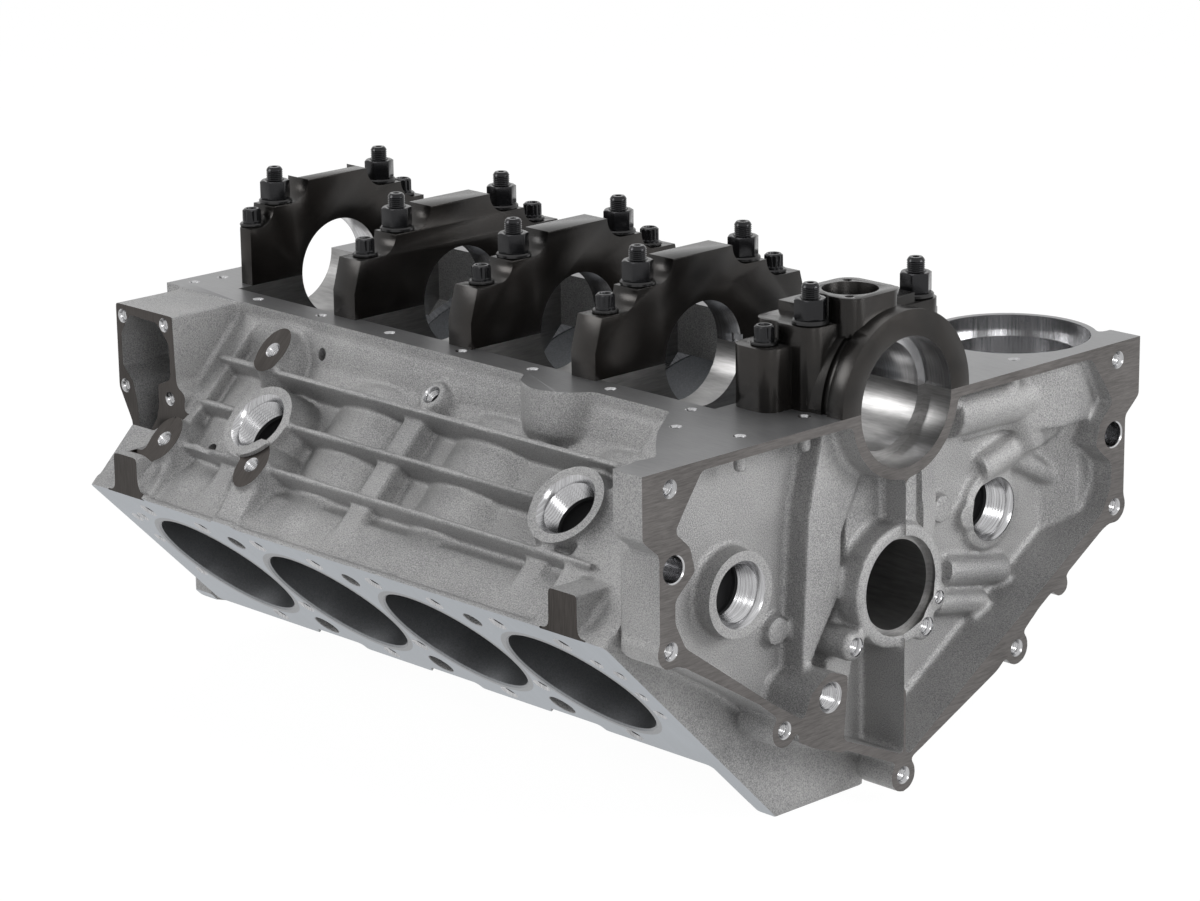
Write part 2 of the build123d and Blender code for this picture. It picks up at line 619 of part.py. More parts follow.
def deck_scallops(side):
    """Shallow bites in the valley edge of the deck, between the cylinders."""
    cuts = []
    for x in [p + HALF_PITCH for p in bore_places(side)[:-1]]:
        bite = Box(BORE_PITCH * DECK_SCALLOP_SHARE, 2 * DECK_SCALLOP, 60,
                   align=(Align.CENTER, Align.CENTER, Align.MAX))
        cuts.append(bank_place(side, x, -VALLEY_WALL, DECK_HEIGHT + 1) * bite)
    return cuts


def head_bolt_places(side):
    """Places (x, outward) of the head bolts: an outer row, a middle row and an inner row."""
    bores = bore_places(side)
    step = BORE_PITCH / 2
    outer = [(bores[0] - step / 2 + i * step, 57.5) for i in range(2 * CYLINDERS_PER_BANK)]
    middle = [(x + HALF_PITCH, -28.0) for x in bores[:-1]]
    inner = [(x, -62.0) for x in bores]
    return outer + middle + inner


def deck_holes(side):
    """Threaded head bolt holes, water passages and the small holes at both ends."""
    bores = bore_places(side)
    water = [(x + HALF_PITCH, v, radius) for v, radius in DECK_WATER for x in bores[:-1]]
    last, first = bores[-1], bores[0]
    if side < 0:
        ends = [(last + 46, 43.5), (last + 60, 36.5), (last + 60, 12), (last + 60, -9), (first - 48, 43),
                (first - 58, 38.5), (first - 60, 11.5), (first - 53, -28)]
    else:
        ends = [(first - 46, 43.5), (first - 60, 36.5), (first - 60, 12), (first - 60, -9), (last + 48, 43),
                (last + 58, 38.5), (last + 60, 11.5), (last + 53, -28)]
    holes = [(x, v, *HEAD_BOLT) for x, v in head_bolt_places(side)]
    holes += [(x, v, radius, DECK_WATER_DEPTH) for x, v, radius in water]
    holes += [(x, v, *DECK_END_HOLE) for x, v in ends]
    top = (Align.CENTER, Align.CENTER, Align.MAX)
    return [bank_place(side, x, v, DECK_HEIGHT + 1) * Cylinder(radius, depth + 1, align=top)
            for x, v, radius, depth in holes]


def liner_seats(side):
    """Bores for the liners, with a counterbore at the deck and a lip at the bottom."""
    cuts = []
    for x in bore_places(side):
        through = Cylinder(BORE_RADIUS + 0.6, DECK_HEIGHT, align=CENTRED_UP)
        seat = Cylinder(LINER_OUTER_RADIUS, DECK_HEIGHT, align=CENTRED_UP)
        flange = Cylinder(LINER_OUTER_RADIUS + LINER_FLANGE_EXTRA, DECK_HEIGHT, align=CENTRED_UP)
        cuts.append(bank_place(side, x, 0, BORE_OPENING - 2) * through)
        cuts.append(bank_place(side, x, 0, LINER_BOTTOM) * seat)
        cuts.append(bank_place(side, x, 0, DECK_HEIGHT - LINER_FLANGE_THICK) * flange)
    return cuts


def cylinder_liner(side, x):
    """One iron liner: a plain tube with a flange at the deck and a chamfered mouth."""
    length = DECK_HEIGHT - LINER_BOTTOM
    flange_radius = LINER_OUTER_RADIUS + LINER_FLANGE_EXTRA
    body = Cylinder(LINER_OUTER_RADIUS, length, align=CENTRED_UP)
    flange = Cylinder(flange_radius, LINER_FLANGE_THICK, align=CENTRED_UP)
    flange = Pos(0, 0, length - LINER_FLANGE_THICK) * flange
    tube = body + flange - Cylinder(BORE_RADIUS, 3 * length)
    mouth = Cone(BORE_RADIUS, BORE_RADIUS + LINER_CHAMFER, LINER_CHAMFER, align=CENTRED_UP)
    mouth = Pos(0, 0, length - LINER_CHAMFER) * mouth
    return bank_place(side, x, 0, LINER_BOTTOM) * (tube - mouth)


def plug_holes():
    """Bores for the threaded core plugs, on the outer walls and inside the bell rim."""
    cuts = []
    for radius, depth in ((PLUG_HOLE_RADIUS, PLUG_DEPTH), (PLUG_RIM_RADIUS, PLUG_RIM_DEPTH)):
        for side in (-1, 1):
            for x, along in side_plug_places(side):
                cuts.append(outward_rod(side, x, along, PLUG_FACE - depth, PLUG_FACE + 1, radius))
        for y, face_x in rear_plug_faces():
            start = (face_x - depth, y, REAR_PLUG_Z)
            cuts.append(rod(radius, depth + BELL_FACE_X - face_x, start, (1, 0, 0)))
    return cuts


def bell_holes():
    """Bolt and dowel holes of the bell housing face, with the gallery and cam ear holes."""
    bolts = [(side * y, z, BELL_BOLT_RADIUS, BELL_BOLT_DEPTH) for y, z in BELL_BOLTS for side in (-1, 1)]
    bolts.append((*BELL_LOWEST_BOLT, BELL_BOLT_RADIUS, BELL_BOLT_DEPTH))
    dowels = [(side * BELL_DOWEL[0], BELL_DOWEL[1], BELL_DOWEL_RADIUS, 22) for side in (-1, 1)]
    others = [(*GALLERY_HOLE, BELL_BOLT_DEPTH)] + [(y, z, radius, 20) for y, z, radius in CAM_EAR_HOLES]
    return [rod(radius, depth + 1, (BELL_FACE_X - depth, y, z), (1, 0, 0))
            for y, z, radius, depth in bolts + dowels + others]


def rail_holes():
    """Pan bolt holes along both rails, with the end rails and the oval lobe opening."""
    places = [(x, RAIL_HOLE_Y) for x in RAIL_HOLES_X]
    places += [(BANK_FRONT_X - 6, 75), (BANK_FRONT_X - 9, 97), (BELL_FACE_X - 22.5, 64.5),
               (BELL_FACE_X - 20, 121)]
    places = [(x, side * y) for side in (-1, 1) for x, y in places] + [(BELL_FACE_X - 61, -132)]
    cuts = [rod(RAIL_HOLE_RADIUS, RAIL_HOLE_DEPTH + 1, (x, y, 1), (0, 0, -1)) for x, y in places]
    x, y = DIPSTICK_BOSS
    return cuts + [Pos(x, side * y, -26) * extrude(SlotOverall(22, 13), 27) for side in (-1, 1)]


def side_holes(side):
    """Holes of the mount bosses and the water drain in the outer wall."""
    cuts = [outward_rod(side, x, along, MOUNT_FACE - 25, MOUNT_FACE + 2, MOUNT_HOLE_RADIUS)
            for x, along in MOUNT_BOSSES]
    cuts.append(outward_rod(side, DRAIN[0], DRAIN[1], 60, 80, DRAIN[2]))
    return cuts


def front_holes():
    """Timing cover, water pump and gallery holes of the front face."""
    cuts = [rod(TIMING_BOLT_RADIUS, 15, (FRONT_FACE_X - 1, side * y, z), (1, 0, 0))
            for y, z in TIMING_BOLTS for side in (-1, 1)]
    pad_face = BANK_FRONT_X - PUMP_PAD_PROUD - 1
    for side in (-1, 1):
        y, middle = side * PUMP_PORT[0], PUMP_PORT[1]
        for z in (middle - PUMP_BOLT_STEP, middle + PUMP_BOLT_STEP):
            cuts.append(rod(PUMP_BOLT_RADIUS, 25, (pad_face, y, z), (1, 0, 0)))
        cuts.append(rod(PUMP_PORT_RADIUS, 22, (pad_face, y, middle), (1, 0, 0)))
        gallery = (FRONT_FACE_X + TIMING_RECESS_DEPTH - 1, side * 42, -CAM_DROP + 34)
        cuts.append(rod(FRONT_GALLERY_RADIUS, 20, gallery, (1, 0, 0)))
    for x, z in FUEL_PAD_HOLES:
        cuts.append(rod(FUEL_HOLE_RADIUS, 22, (x, -FUEL_PAD_Y - 1, z), (0, 1, 0)))
    return cuts


def bearing_bores():
    """The line bores of the crank and the cam, the seal bore and the lifter bores."""
    length = BELL_FACE_X - FRONT_FACE_X + 2
    start = FRONT_FACE_X - 1
    mouth_wall, mouth_depth = CAM_MOUTH
    mouth_x = BELL_FACE_X - mouth_depth
    cuts = [rod(MAIN_BORE_RADIUS, length, (start, 0, 0), (1, 0, 0)),
            rod(SEAL_BORE_RADIUS, SEAL_BORE_DEPTH + 1, (BELL_FACE_X - SEAL_BORE_DEPTH, 0, 0), (1, 0, 0)),
            rod(CAM_BORE_RADIUS, length, (start, 0, -CAM_DROP), (1, 0, 0)),
            rod(CAM_BORE_RADIUS + mouth_wall, mouth_depth + 1, (mouth_x, 0, -CAM_DROP), (1, 0, 0))]
    tilt = radians(BANK_TILT)
    for side in (-1, 1):
        axis = (0, side * sin(tilt), -cos(tilt))
        for x in bore_places(side):
            for step in (-LIFTER_SPACING / 2, LIFTER_SPACING / 2):
                cuts.append(rod(LIFTER_RADIUS, LIFTER_BOSS_LENGTH + 2, (x + step, 0, -CAM_DROP), axis))
    return cuts


def cylinder_block():
    """The one casting, with its machined faces and bores."""
    block = crankcase()
    added = [bank(-1), bank(1), bell_flange(), timing_face(), filter_housing(), fuel_pump_housing()]
    added += valley_end_rails() + rear_face_bosses() + water_pump_pads()
    for side in (-1, 1):
        added += barrel_bulges(side) + side_ribs(side) + mount_bosses(side) + corner_pads(side)
        added += side_plug_bosses(side) + [rail_lobe(side)] + lifter_bosses(side)
    block = block.fuse(*added)
    x, y = FILTER_CENTRE
    cuts = crank_bays() + plug_holes() + bell_holes() + rail_holes() + front_holes() + bearing_bores()
    cuts += [timing_recess(), fuel_pump_pocket(),
             rod(FILTER_RIM_RADIUS, FILTER_SHELF_DEPTH + 1, (x, y, 1), (0, 0, -1)),
             rod(FILTER_BORE_RADIUS, FILTER_DEPTH + 1, (x, y, 1), (0, 0, -1)),
             rod(RAIL_SCOOP[1], 60, (BANK_REAR_X - 45, RAIL_SCOOP[0], -REAR_RAIL_DROP - 3), (1, 0, 0))]
    for side in (-1, 1):
        cuts += liner_seats(side) + deck_scallops(side) + deck_holes(side) + side_holes(side)
    for cap_x, bolt_y in cap_places():
        cuts += cap_fastener_holes(cap_x, STUD_Y, cap_x, bolt_y)
    cuts += cap_fastener_holes(REAR_STUD_X, STUD_Y, *REAR_BOLT)
    return block.cut(*cuts)


def cap_places():
    """Places along the crank of the four flat caps, each with its outer bolts' distance from it."""
    return [(x, FRONT_BOLT_Y if x == FRONT_MAIN_X else OUTER_BOLT_Y) for x in CAP_PLACES_X]


def cap_fastener_holes(stud_x, stud_y, bolt_x, bolt_y):
    """Holes in the casting under one cap, as wide as the studs and bolts that fill them."""
    holes = []
    for side in (-1, 1):
        holes.append(rod(STUD_RADIUS, STUD_ROOT, (stud_x, side * stud_y, 0), (0, 0, -1)))
        depth = OUTER_BOLT_LENGTH - CAP_BOLT_LEVEL - SMALL_WASHER_THICK
        holes.append(rod(OUTER_BOLT_RADIUS, depth, (bolt_x, side * bolt_y, 0), (0, 0, -1)))
    return holes


def cap_outline(shoulder, half_width):
    """Front view of a main cap: a raised top that steps down through two rounded shoulders."""
    nut_round, bolt_round = CAP_HEIGHT - CAP_NUT_LEVEL, CAP_NUT_LEVEL - CAP_BOLT_LEVEL
    top = Line((0, CAP_HEIGHT), (CAP_TOP_HALF, CAP_HEIGHT))
    first = RadiusArc(top @ 1, (CAP_TOP_HALF + nut_round, CAP_NUT_LEVEL), -nut_round)
    shelf = Line(first @ 1, (CAP_NUT_SHELF_Y, CAP_NUT_LEVEL))
    second = RadiusArc(shelf @ 1, (CAP_NUT_SHELF_Y + bolt_round, CAP_BOLT_LEVEL), -bolt_round)
    end = Polyline(second @ 1, (shoulder, CAP_BOLT_LEVEL), (half_width, 17), (half_width, 0), (0, 0))
    half = make_face(Curve() + [top, first, shelf, second, end, Line(end @ 1, top @ 0)])
    return half + mirror(half, Plane.YZ)


def fastener_cuts(stud_x, stud_y, bolt_x, bolt_y):
    """Holes through a cap for its studs and bolts, each with a flat spotface."""
    cuts = []
    for side in (-1, 1):
        stud, bolt = (stud_x, side * stud_y), (bolt_x, side * bolt_y)
        for (x, y), radius in ((stud, STUD_RADIUS), (bolt, OUTER_BOLT_RADIUS)):
            cuts.append(rod(radius + HOLE_CLEARANCE, 2 * CAP_HEIGHT, (x, y, -1), (0, 0, 1)))
        for (x, y), radius, level in ((stud, WASHER_RADIUS, CAP_NUT_LEVEL),
                                      (bolt, SMALL_WASHER_RADIUS, CAP_BOLT_LEVEL)):
            cuts.append(rod(radius + SPOTFACE_CLEARANCE, CAP_HEIGHT, (x, y, level), (0, 0, 1)))
    return cuts


def main_cap(x, bolt_y):
    """One of the four flat steel caps; the front one is narrower and cut back at its front."""
    front = x == FRONT_MAIN_X
    shoulder, half_width = (FRONT_CAP_HALF_WIDTH,) * 2 if front else (CAP_SHOULDER_Y, CAP_HALF_WIDTH)
    body = extrude(Plane.YZ.offset(x - WEB_THICK / 2) * cap_outline(shoulder, half_width), WEB_THICK)
    bore = rod(MAIN_BORE_RADIUS, WEB_THICK + 2, (x - WEB_THICK / 2 - 1, 0, 0), (1, 0, 0))
    slot_x, slot_y, slot_z = TANG_SLOT
    tang = Pos(x + (WEB_THICK - slot_x) / 2, MAIN_BORE_RADIUS - 1, slot_z / 2) * Box(*TANG_SLOT)
    cuts = [bore, tang] + fastener_cuts(x, STUD_Y, x, bolt_y)
    if front:
        cuts += front_bevels(x - WEB_THICK / 2)
    return body.cut(*cuts)


def front_bevels(front_x):
    """What is cut from the front cap's top edge and from its two front corners."""
    back, drop = FRONT_CAP_BEVEL
    before, after = front_x - 1, front_x + back
    profile = [(before, CAP_HEIGHT + 1), (after, CAP_HEIGHT + 1), (after, CAP_HEIGHT),
               (front_x, CAP_HEIGHT - drop), (before, CAP_HEIGHT - drop)]
    face = Plane.XZ.offset(-CAP_TOP_HALF) * make_face(Polyline(*profile, close=True))
    bevels = [extrude(face, 2 * CAP_TOP_HALF)]
    for side in (-1, 1):
        edge = side * FRONT_CAP_HALF_WIDTH
        inner = edge - side * back
        plan = [(before, inner), (front_x, inner), (after, edge), (after, edge + side),
                (before, edge + side)]
        corner = make_face(Polyline(*plan, close=True))
        bevels.append(extrude(corner, CAP_BOLT_LEVEL + 1, dir=(0, 0, 1)))
    return bevels


def rear_cap_body():
    """Plan of the rear cap, drawn up: a broad middle and two narrow ends, all rounded."""
    corner = 10.0
    ends = Pos((REAR_MAIN_FRONT_X + REAR_CAP_BODY_X) / 2, 0) * RectangleRounded(
        REAR_CAP_BODY_X - REAR_MAIN_FRONT_X, 2 * REAR_CAP_END_Y, corner)
    middle = Pos((REAR_MAIN_FRONT_X + REAR_CAP_BOSS_X) / 2, 0) * RectangleRounded(
        REAR_CAP_BOSS_X - REAR_MAIN_FRONT_X, 2 * (STUD_Y + WASHER_RADIUS + 0.6), corner)
    low = extrude(ends, CAP_BOLT_LEVEL)
    high = extrude(middle, CAP_NUT_LEVEL)
    top_end = SEAL_FLANGE_X + 3
    top = Pos((REAR_MAIN_FRONT_X + top_end) / 2, 0) * Rectangle(
        top_end - REAR_MAIN_FRONT_X, 2 * (STUD_Y - WASHER_RADIUS - 0.5))
    return low + high + extrude(top, CAP_NUT_LEVEL + 6)


def rear_cap():
    """The rear cap, with the round seal flange and the oil pump pad."""
    body = rear_cap_body()
    flange = rod(SEAL_FLANGE_RADIUS, BELL_FACE_X - SEAL_FLANGE_X, (SEAL_FLANGE_X, 0, 0), (1, 0, 0))
    groove_start, groove_width, groove_depth = SEAL_GROOVE
    groove_from = (SEAL_FLANGE_X + groove_start, 0, 0)
    groove = rod(SEAL_FLANGE_RADIUS + 1, groove_width, groove_from, (1, 0, 0))
    flange -= groove - rod(SEAL_FLANGE_RADIUS - groove_depth, groove_width, groove_from, (1, 0, 0))
    x, y, top = PUMP_PAD
    square = RectangleRounded(PUMP_PAD_SIZE, PUMP_PAD_SIZE, PUMP_PAD_SIZE / 4)
    cap = body + flange + Pos(x, y, CAP_NUT_LEVEL - 8) * extrude(square, top - CAP_NUT_LEVEL + 8)
    depth = top - CAP_NUT_LEVEL + 8
    below = Pos(x, 0, -BELL_FACE_X) * Box(BELL_FACE_X, BELL_FACE_X, 2 * BELL_FACE_X)
    line = REAR_MAIN_FRONT_X - 1
    slot_x, slot_y, slot_z = TANG_SLOT
    cuts = [rod(MAIN_BORE_RADIUS, BELL_FACE_X - line, (line, 0, 0), (1, 0, 0)),
            rod(SEAL_BORE_RADIUS, SEAL_BORE_DEPTH + 1, (BELL_FACE_X - SEAL_BORE_DEPTH, 0, 0), (1, 0, 0)),
            rod(PUMP_BORE_RADIUS, PUMP_BORE_DEPTH + 1, (x, y, top - PUMP_BORE_DEPTH), (0, 0, 1)),
            rod(PUMP_DRAIN_RADIUS, depth + PUMP_BORE_DEPTH, (x, y, top - PUMP_BORE_DEPTH - 9), (0, 0, 1)),
            rod(2.6, 12, (x - 15, y + 14, top - 10), (0, 0, 1)),
            rod(2.6, 12, (x + 14, y - 16, top - 10), (0, 0, 1)),
            Pos(REAR_MAIN_FRONT_X + slot_x - 2, MAIN_BORE_RADIUS - 1, slot_z / 2) * Box(*TANG_SLOT)]
    return cap.cut(below, *cuts, *fastener_cuts(REAR_STUD_X, STUD_Y, *REAR_BOLT))


def stud(x, y):
    """A threaded stud with a chamfered tip, from its root in the block to above its nut."""
    length = STUD_TIP + STUD_ROOT
    bar = Cylinder(STUD_RADIUS, length, align=CENTRED_UP)
    bar = chamfer(bar.edges().sort_by(Axis.Z)[-1:], 1.2)
    return Pos(x, y, -STUD_ROOT) * bar


def washer(x, y, level, outer, inner, thick):
    """A flat round washer."""
    ring = Cylinder(outer, thick, align=CENTRED_UP) - Cylinder(inner, 3 * thick)
    return Pos(x, y, level) * ring


def nut(x, y):
    """A hexagon nut with its top corners turned off, seated on its washer."""
    corner_radius = NUT_FLATS / sqrt(3)
    body = extrude(RegularPolygon(corner_radius, 6), NUT_HEIGHT)
    turned = Cylinder(corner_radius, NUT_HEIGHT, align=CENTRED_UP)
    turned = chamfer(turned.edges().sort_by(Axis.Z)[-1:], 1.4)
    body = (body & turned) - Cylinder(STUD_RADIUS, 3 * NUT_HEIGHT)
    return Pos(x, y, CAP_NUT_LEVEL + WASHER_THICK) * body


def outer_bolt(x, y):
    """A bolt with a tall round head that has a hexagon socket."""
    head = Cylinder(OUTER_HEAD_RADIUS, OUTER_HEAD_HEIGHT, align=CENTRED_UP)
    head = chamfer(head.edges().sort_by(Axis.Z)[-1:], 0.8)
    head -= Pos(0, 0, OUTER_HEAD_HEIGHT - 4.5) * extrude(RegularPolygon(3.9, 6), 6)
    shank = Pos(0, 0, -OUTER_BOLT_LENGTH) * Cylinder(OUTER_BOLT_RADIUS, OUTER_BOLT_LENGTH, align=CENTRED_UP)
    return Pos(x, y, CAP_BOLT_LEVEL + SMALL_WASHER_THICK) * (head + shank)


def cap_fasteners(number, stud_x, bolt_x, bolt_y):
    """The studs, nuts, washers and outer bolts of one cap, in five nodes."""
    sides = (-1, 1)
    studs = [stud(stud_x, s * STUD_Y) for s in sides]
    nuts = [nut(stud_x, s * STUD_Y) for s in sides]
    large = (WASHER_RADIUS, STUD_RADIUS + HOLE_CLEARANCE, WASHER_THICK)
    washers = [washer(stud_x, s * STUD_Y, CAP_NUT_LEVEL, *large) for s in sides]
    bolts = [outer_bolt(bolt_x, s * bolt_y) for s in sides]
    small = (SMALL_WASHER_RADIUS, OUTER_BOLT_RADIUS + HOLE_CLEARANCE, SMALL_WASHER_THICK)
    small_washers = [washer(bolt_x, s * bolt_y, CAP_BOLT_LEVEL, *small) for s in sides]
    groups = {"studs": studs, "stud_nuts": nuts, "stud_washers": washers, "outer_bolts": bolts,
              "outer_bolt_washers": small_washers}
    return {f"cap_{number}_{name}": Compound(children=solids) for name, solids in groups.items()}


def all_pieces():
    """Every node of the assembly by name."""
    pieces = {"cylinder_block": cylinder_block()}
    number = 1
    for side in (-1, 1):
        for x in bore_places(side):
            pieces[f"cylinder_liner_{number}"] = cylinder_liner(side, x)
            number += 1
    for index, (x, bolt_y) in enumerate(cap_places(), start=1):
        pieces[f"main_cap_{index}"] = main_cap(x, bolt_y)
        pieces.update(cap_fasteners(index, x, x, bolt_y))
    rear_number = len(CAP_PLACES_X) + 1
    pieces[f"main_cap_{rear_number}"] = rear_cap()
    pieces.update(cap_fasteners(rear_number, REAR_STUD_X, *REAR_BOLT))
    return pieces


os.makedirs("parts", exist_ok=True)
for name, shape in all_pieces().items():
    export_step(shape, f"parts/{name}.step")
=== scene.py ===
"""Looks of a bare V8 engine block that stands upside down on its valley rails.

The casting, its liners, its main bearing caps and their fasteners are dressed in the frame of the CAD part.
Origin: crank axis at the centre main bearing. +X runs to the bell housing face and +Z leaves the pan rail.
Sizes in the dataclasses are in millimetres, and every mesh is in metres.
"""
import logging
import time
from contextlib import contextmanager
from dataclasses import dataclass
from enum import Enum
from math import cos, radians, sin, sqrt
from typing import Iterable, Iterator, Optional, Sequence

import bpy
from mathutils import Matrix, Vector


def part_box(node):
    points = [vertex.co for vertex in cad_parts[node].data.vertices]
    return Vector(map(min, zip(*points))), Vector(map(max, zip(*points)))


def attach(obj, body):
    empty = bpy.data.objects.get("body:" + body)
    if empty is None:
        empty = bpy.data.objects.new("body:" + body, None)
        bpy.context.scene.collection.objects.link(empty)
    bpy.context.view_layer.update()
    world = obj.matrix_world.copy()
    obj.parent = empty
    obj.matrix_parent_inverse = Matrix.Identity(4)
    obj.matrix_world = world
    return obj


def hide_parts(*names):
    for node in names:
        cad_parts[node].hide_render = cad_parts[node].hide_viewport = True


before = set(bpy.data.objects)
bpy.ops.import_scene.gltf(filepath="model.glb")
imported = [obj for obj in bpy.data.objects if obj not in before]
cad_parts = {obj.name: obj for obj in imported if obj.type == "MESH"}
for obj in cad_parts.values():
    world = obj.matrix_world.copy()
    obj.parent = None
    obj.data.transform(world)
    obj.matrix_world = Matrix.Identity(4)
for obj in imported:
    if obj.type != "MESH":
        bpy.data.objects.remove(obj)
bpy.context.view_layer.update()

logging.basicConfig(level=logging.INFO, format="%(message)s")
log = logging.getLogger("engine_block")
started = time.time()

Piece = bpy.types.Object
Pair = tuple[float, float]
Point = tuple[float, float, float]
Rings = Sequence[Pair]

MM = 0.001
SLANT = sqrt(0.5)  # sine and cosine of a bank's 45 degrees
STEP = 0.01  # height of a ring where a profile steps sideways
SAME_RADIUS = 1e-6
WELD = 2e-6  # metres
ON_FACE = 4e-5  # metres
BANKS = (-1, 1)
UP = Vector((0.0, 0.0, 1.0))
TO_BELL: Point = (1.0, 0.0, 0.0)
TO_FRONT: Point = (-1.0, 0.0, 0.0)
OFF_RAIL: Point = (0.0, 0.0, 1.0)
ACROSS_CRANK = Matrix(((0, 0, 1, 0), (1, 0, 0, 0), (0, 1, 0, 0), (0, 0, 0, 1)))


class Skin(Enum):
    """Surfaces of the casting, in the order of its material slots."""

    CAST = 0
    RAIL = 1
    DECK = 2
    BELL = 3
    PAD = 4
    BRIGHT = 5
    WEB = 6
    # painted shade: a near-black finish for the deep ends of holes and passages, where shade falls
    DEPTH = 7


def report(text: str, *values: object) -> None:
    """Logs a line with the seconds since the start."""
    log.info("%6.1f s  " + text, time.time() - started, *values)


# Places in the banks


def bank_axis(side: int) -> Point:
    """The direction out of a bank's bores."""
    return (0.0, side * SLANT, -SLANT)


def bank_out(side: int) -> Point:
    """The direction out of a bank's outer wall."""
    return (0.0, side * SLANT, SLANT)


def in_bank(side: int, x: float, outward: float, along: float) -> Point:
    """A point along the crank, out from the bores' plane and up the bores, in the block's frame."""
    return (x, side * (along + outward) * SLANT, (outward - along) * SLANT)


# Mesh helpers


def deselect() -> None:
    """Leaves no object selected."""
    bpy.ops.object.select_all(action="DESELECT")


def only(obj: Piece) -> Piece:
    """Selects one object alone and makes it active.

    Args:
        obj: the object to select.

    Returns:
        The same object.
    """
    deselect()
    obj.select_set(True)
    bpy.context.view_layer.objects.active = obj
    return obj


def remove(obj: Piece) -> None:
    """Deletes an object."""
    bpy.data.objects.remove(obj, do_unlink=True)


def settle(obj: Piece) -> Piece:
    """Puts an object's place, turn and scale into its mesh."""
    only(obj)
    bpy.ops.object.transform_apply(location=True, rotation=True, scale=True)
    return obj


@contextmanager
def editing(obj: Piece) -> Iterator[None]:
    """Edit mode on one object with all of it selected, and object mode again at the end."""
    only(obj)
    bpy.ops.object.mode_set(mode="EDIT")
    bpy.ops.mesh.select_all(action="SELECT")
    yield
    bpy.ops.object.mode_set(mode="OBJECT")


def draw_out(rise: float) -> None:
    """Extrudes what is selected along +Z by a height in millimetres."""
    bpy.ops.mesh.extrude_region_move(TRANSFORM_OT_translate={"value": (0, 0, rise * MM)})


def face_outwards() -> None:
    """Turns all faces of the mesh in edit mode outwards."""
    bpy.ops.mesh.select_all(action="SELECT")
    bpy.ops.mesh.normals_make_consistent(inside=False)


def place(obj: Piece, origin: Sequence[float], axis: Sequence[float], spin: float = 0.0) -> Piece:
    """Moves a piece modelled along +Z so that it runs along an axis from a point.

    Args:
        obj: the piece.
        origin: where its own origin goes, in millimetres.
        axis: the direction its own +Z takes.
        spin: turn about its own axis, in radians.

    Returns:
        The same piece, with the place in its mesh.
    """
    turn = UP.rotation_difference(Vector(axis).normalized()).to_matrix().to_4x4()
    obj.matrix_world = Matrix.Translation(Vector(origin) * MM) @ turn @ Matrix.Rotation(spin, 4, "Z")
    return settle(obj)


def disc(name: str, corners: int, radius: float, height: float = 0.0) -> Piece:
    """Adds a flat filled circle across +Z.

    Args:
        name: the new object's name.
        corners: points round the circle.
        radius: its radius in millimetres.
        height: its height in millimetres.

    Returns:
        The new object.
    """
    deselect()
    bpy.ops.mesh.primitive_circle_add(vertices=corners, radius=radius * MM, fill_type="NGON",
                                      location=(0, 0, height * MM))
    obj = bpy.context.object
    obj.name = name
    return settle(obj)


def turned(name: str, profile: Rings, segments: int = 48) -> Piece:
    """Turns a solid about +Z, by extruding a disc from ring to ring.

    Args:
        name: the new object's name.
        profile: (radius, height) of each ring in millimetres, from bottom to top.
        segments: faces round the axis.

    Returns:
        The new closed solid.
    """
    radius, height = profile[0]
    obj = disc(name, segments, radius, height)
    with editing(obj):
        for next_radius, next_height in profile[1:]:
            draw_out(next_height - height)
            if abs(next_radius - radius) > SAME_RADIUS:
                ratio = next_radius / radius
                middle = (0, 0, next_height * MM)
                bpy.ops.transform.resize(value=(ratio, ratio, 1.0), center_override=middle)
            radius, height = next_radius, next_height
        face_outwards()
    return obj


def stepped(*steps: Point) -> list[Pair]:
    """A profile of straight steps.

    Args:
        steps: (radius, bottom, top) of each step, from the lowest up.

    Returns:
        The rings of the profile.
    """
    rings: list[Pair] = []
    for radius, low, high in steps:
        rings += [(radius, low + STEP if rings else low), (radius, high)]
    return rings


def drawn(name: str, outline: Rings, low: float, high: float, plane: Matrix) -> Piece:
    """Draws a flat outline out into a solid.

    Args:
        name: the new object's name.
        outline: corners (u, v) in millimetres, in order.
        low: where the solid starts along the plane's normal.
        high: where it ends.
        plane: turns (u, v, w) into the block's frame.

    Returns:
        The new closed solid.
    """
    obj = disc(name, len(outline), 1.0)
    for vertex, (u, v) in zip(obj.data.vertices, outline):
        vertex.co = Vector((u, v, low)) * MM
    with editing(obj):
        draw_out(high - low)
    obj.matrix_world = plane
    settle(obj)
    with editing(obj):
        face_outwards()
    return obj


def slab(name: str, corner: Sequence[float], opposite: Sequence[float]) -> Piece:
    """Adds a square-edged solid.

    Args:
        name: the new object's name.
        corner: one corner in millimetres.
        opposite: the corner across from it.

    Returns:
        The new closed solid.
    """
    deselect()
    middle = [(a + b) / 2 * MM for a, b in zip(corner, opposite)]
    bpy.ops.mesh.primitive_cube_add(size=1.0, location=middle)
    obj = bpy.context.object
    obj.name = name
    obj.scale = [abs(b - a) * MM for a, b in zip(corner, opposite)]
    return settle(obj)


def duplicate(obj: Piece, name: str) -> Piece:
    """Copies an object.

    Args:
        obj: the object to copy.
        name: the copy's name.

    Returns:
        The copy, with a mesh of its own.
    """
    copy = obj.copy()
    copy.data = obj.data.copy()
    copy.name = name
    bpy.context.scene.collection.objects.link(copy)
    return copy


def joined(parts: Sequence[Piece], name: str) -> Piece:
    """Joins objects into one mesh.

    Args:
        parts: the objects, of which the first stays.
        name: the name of the result.

    Returns:
        The joined object.
    """
    deselect()
    for part in parts:
        part.select_set(True)
    bpy.context.view_layer.objects.active = parts[0]
    if len(parts) > 1:
        bpy.ops.object.join()
    result = bpy.context.view_layer.objects.active
    result.name = name
    return result


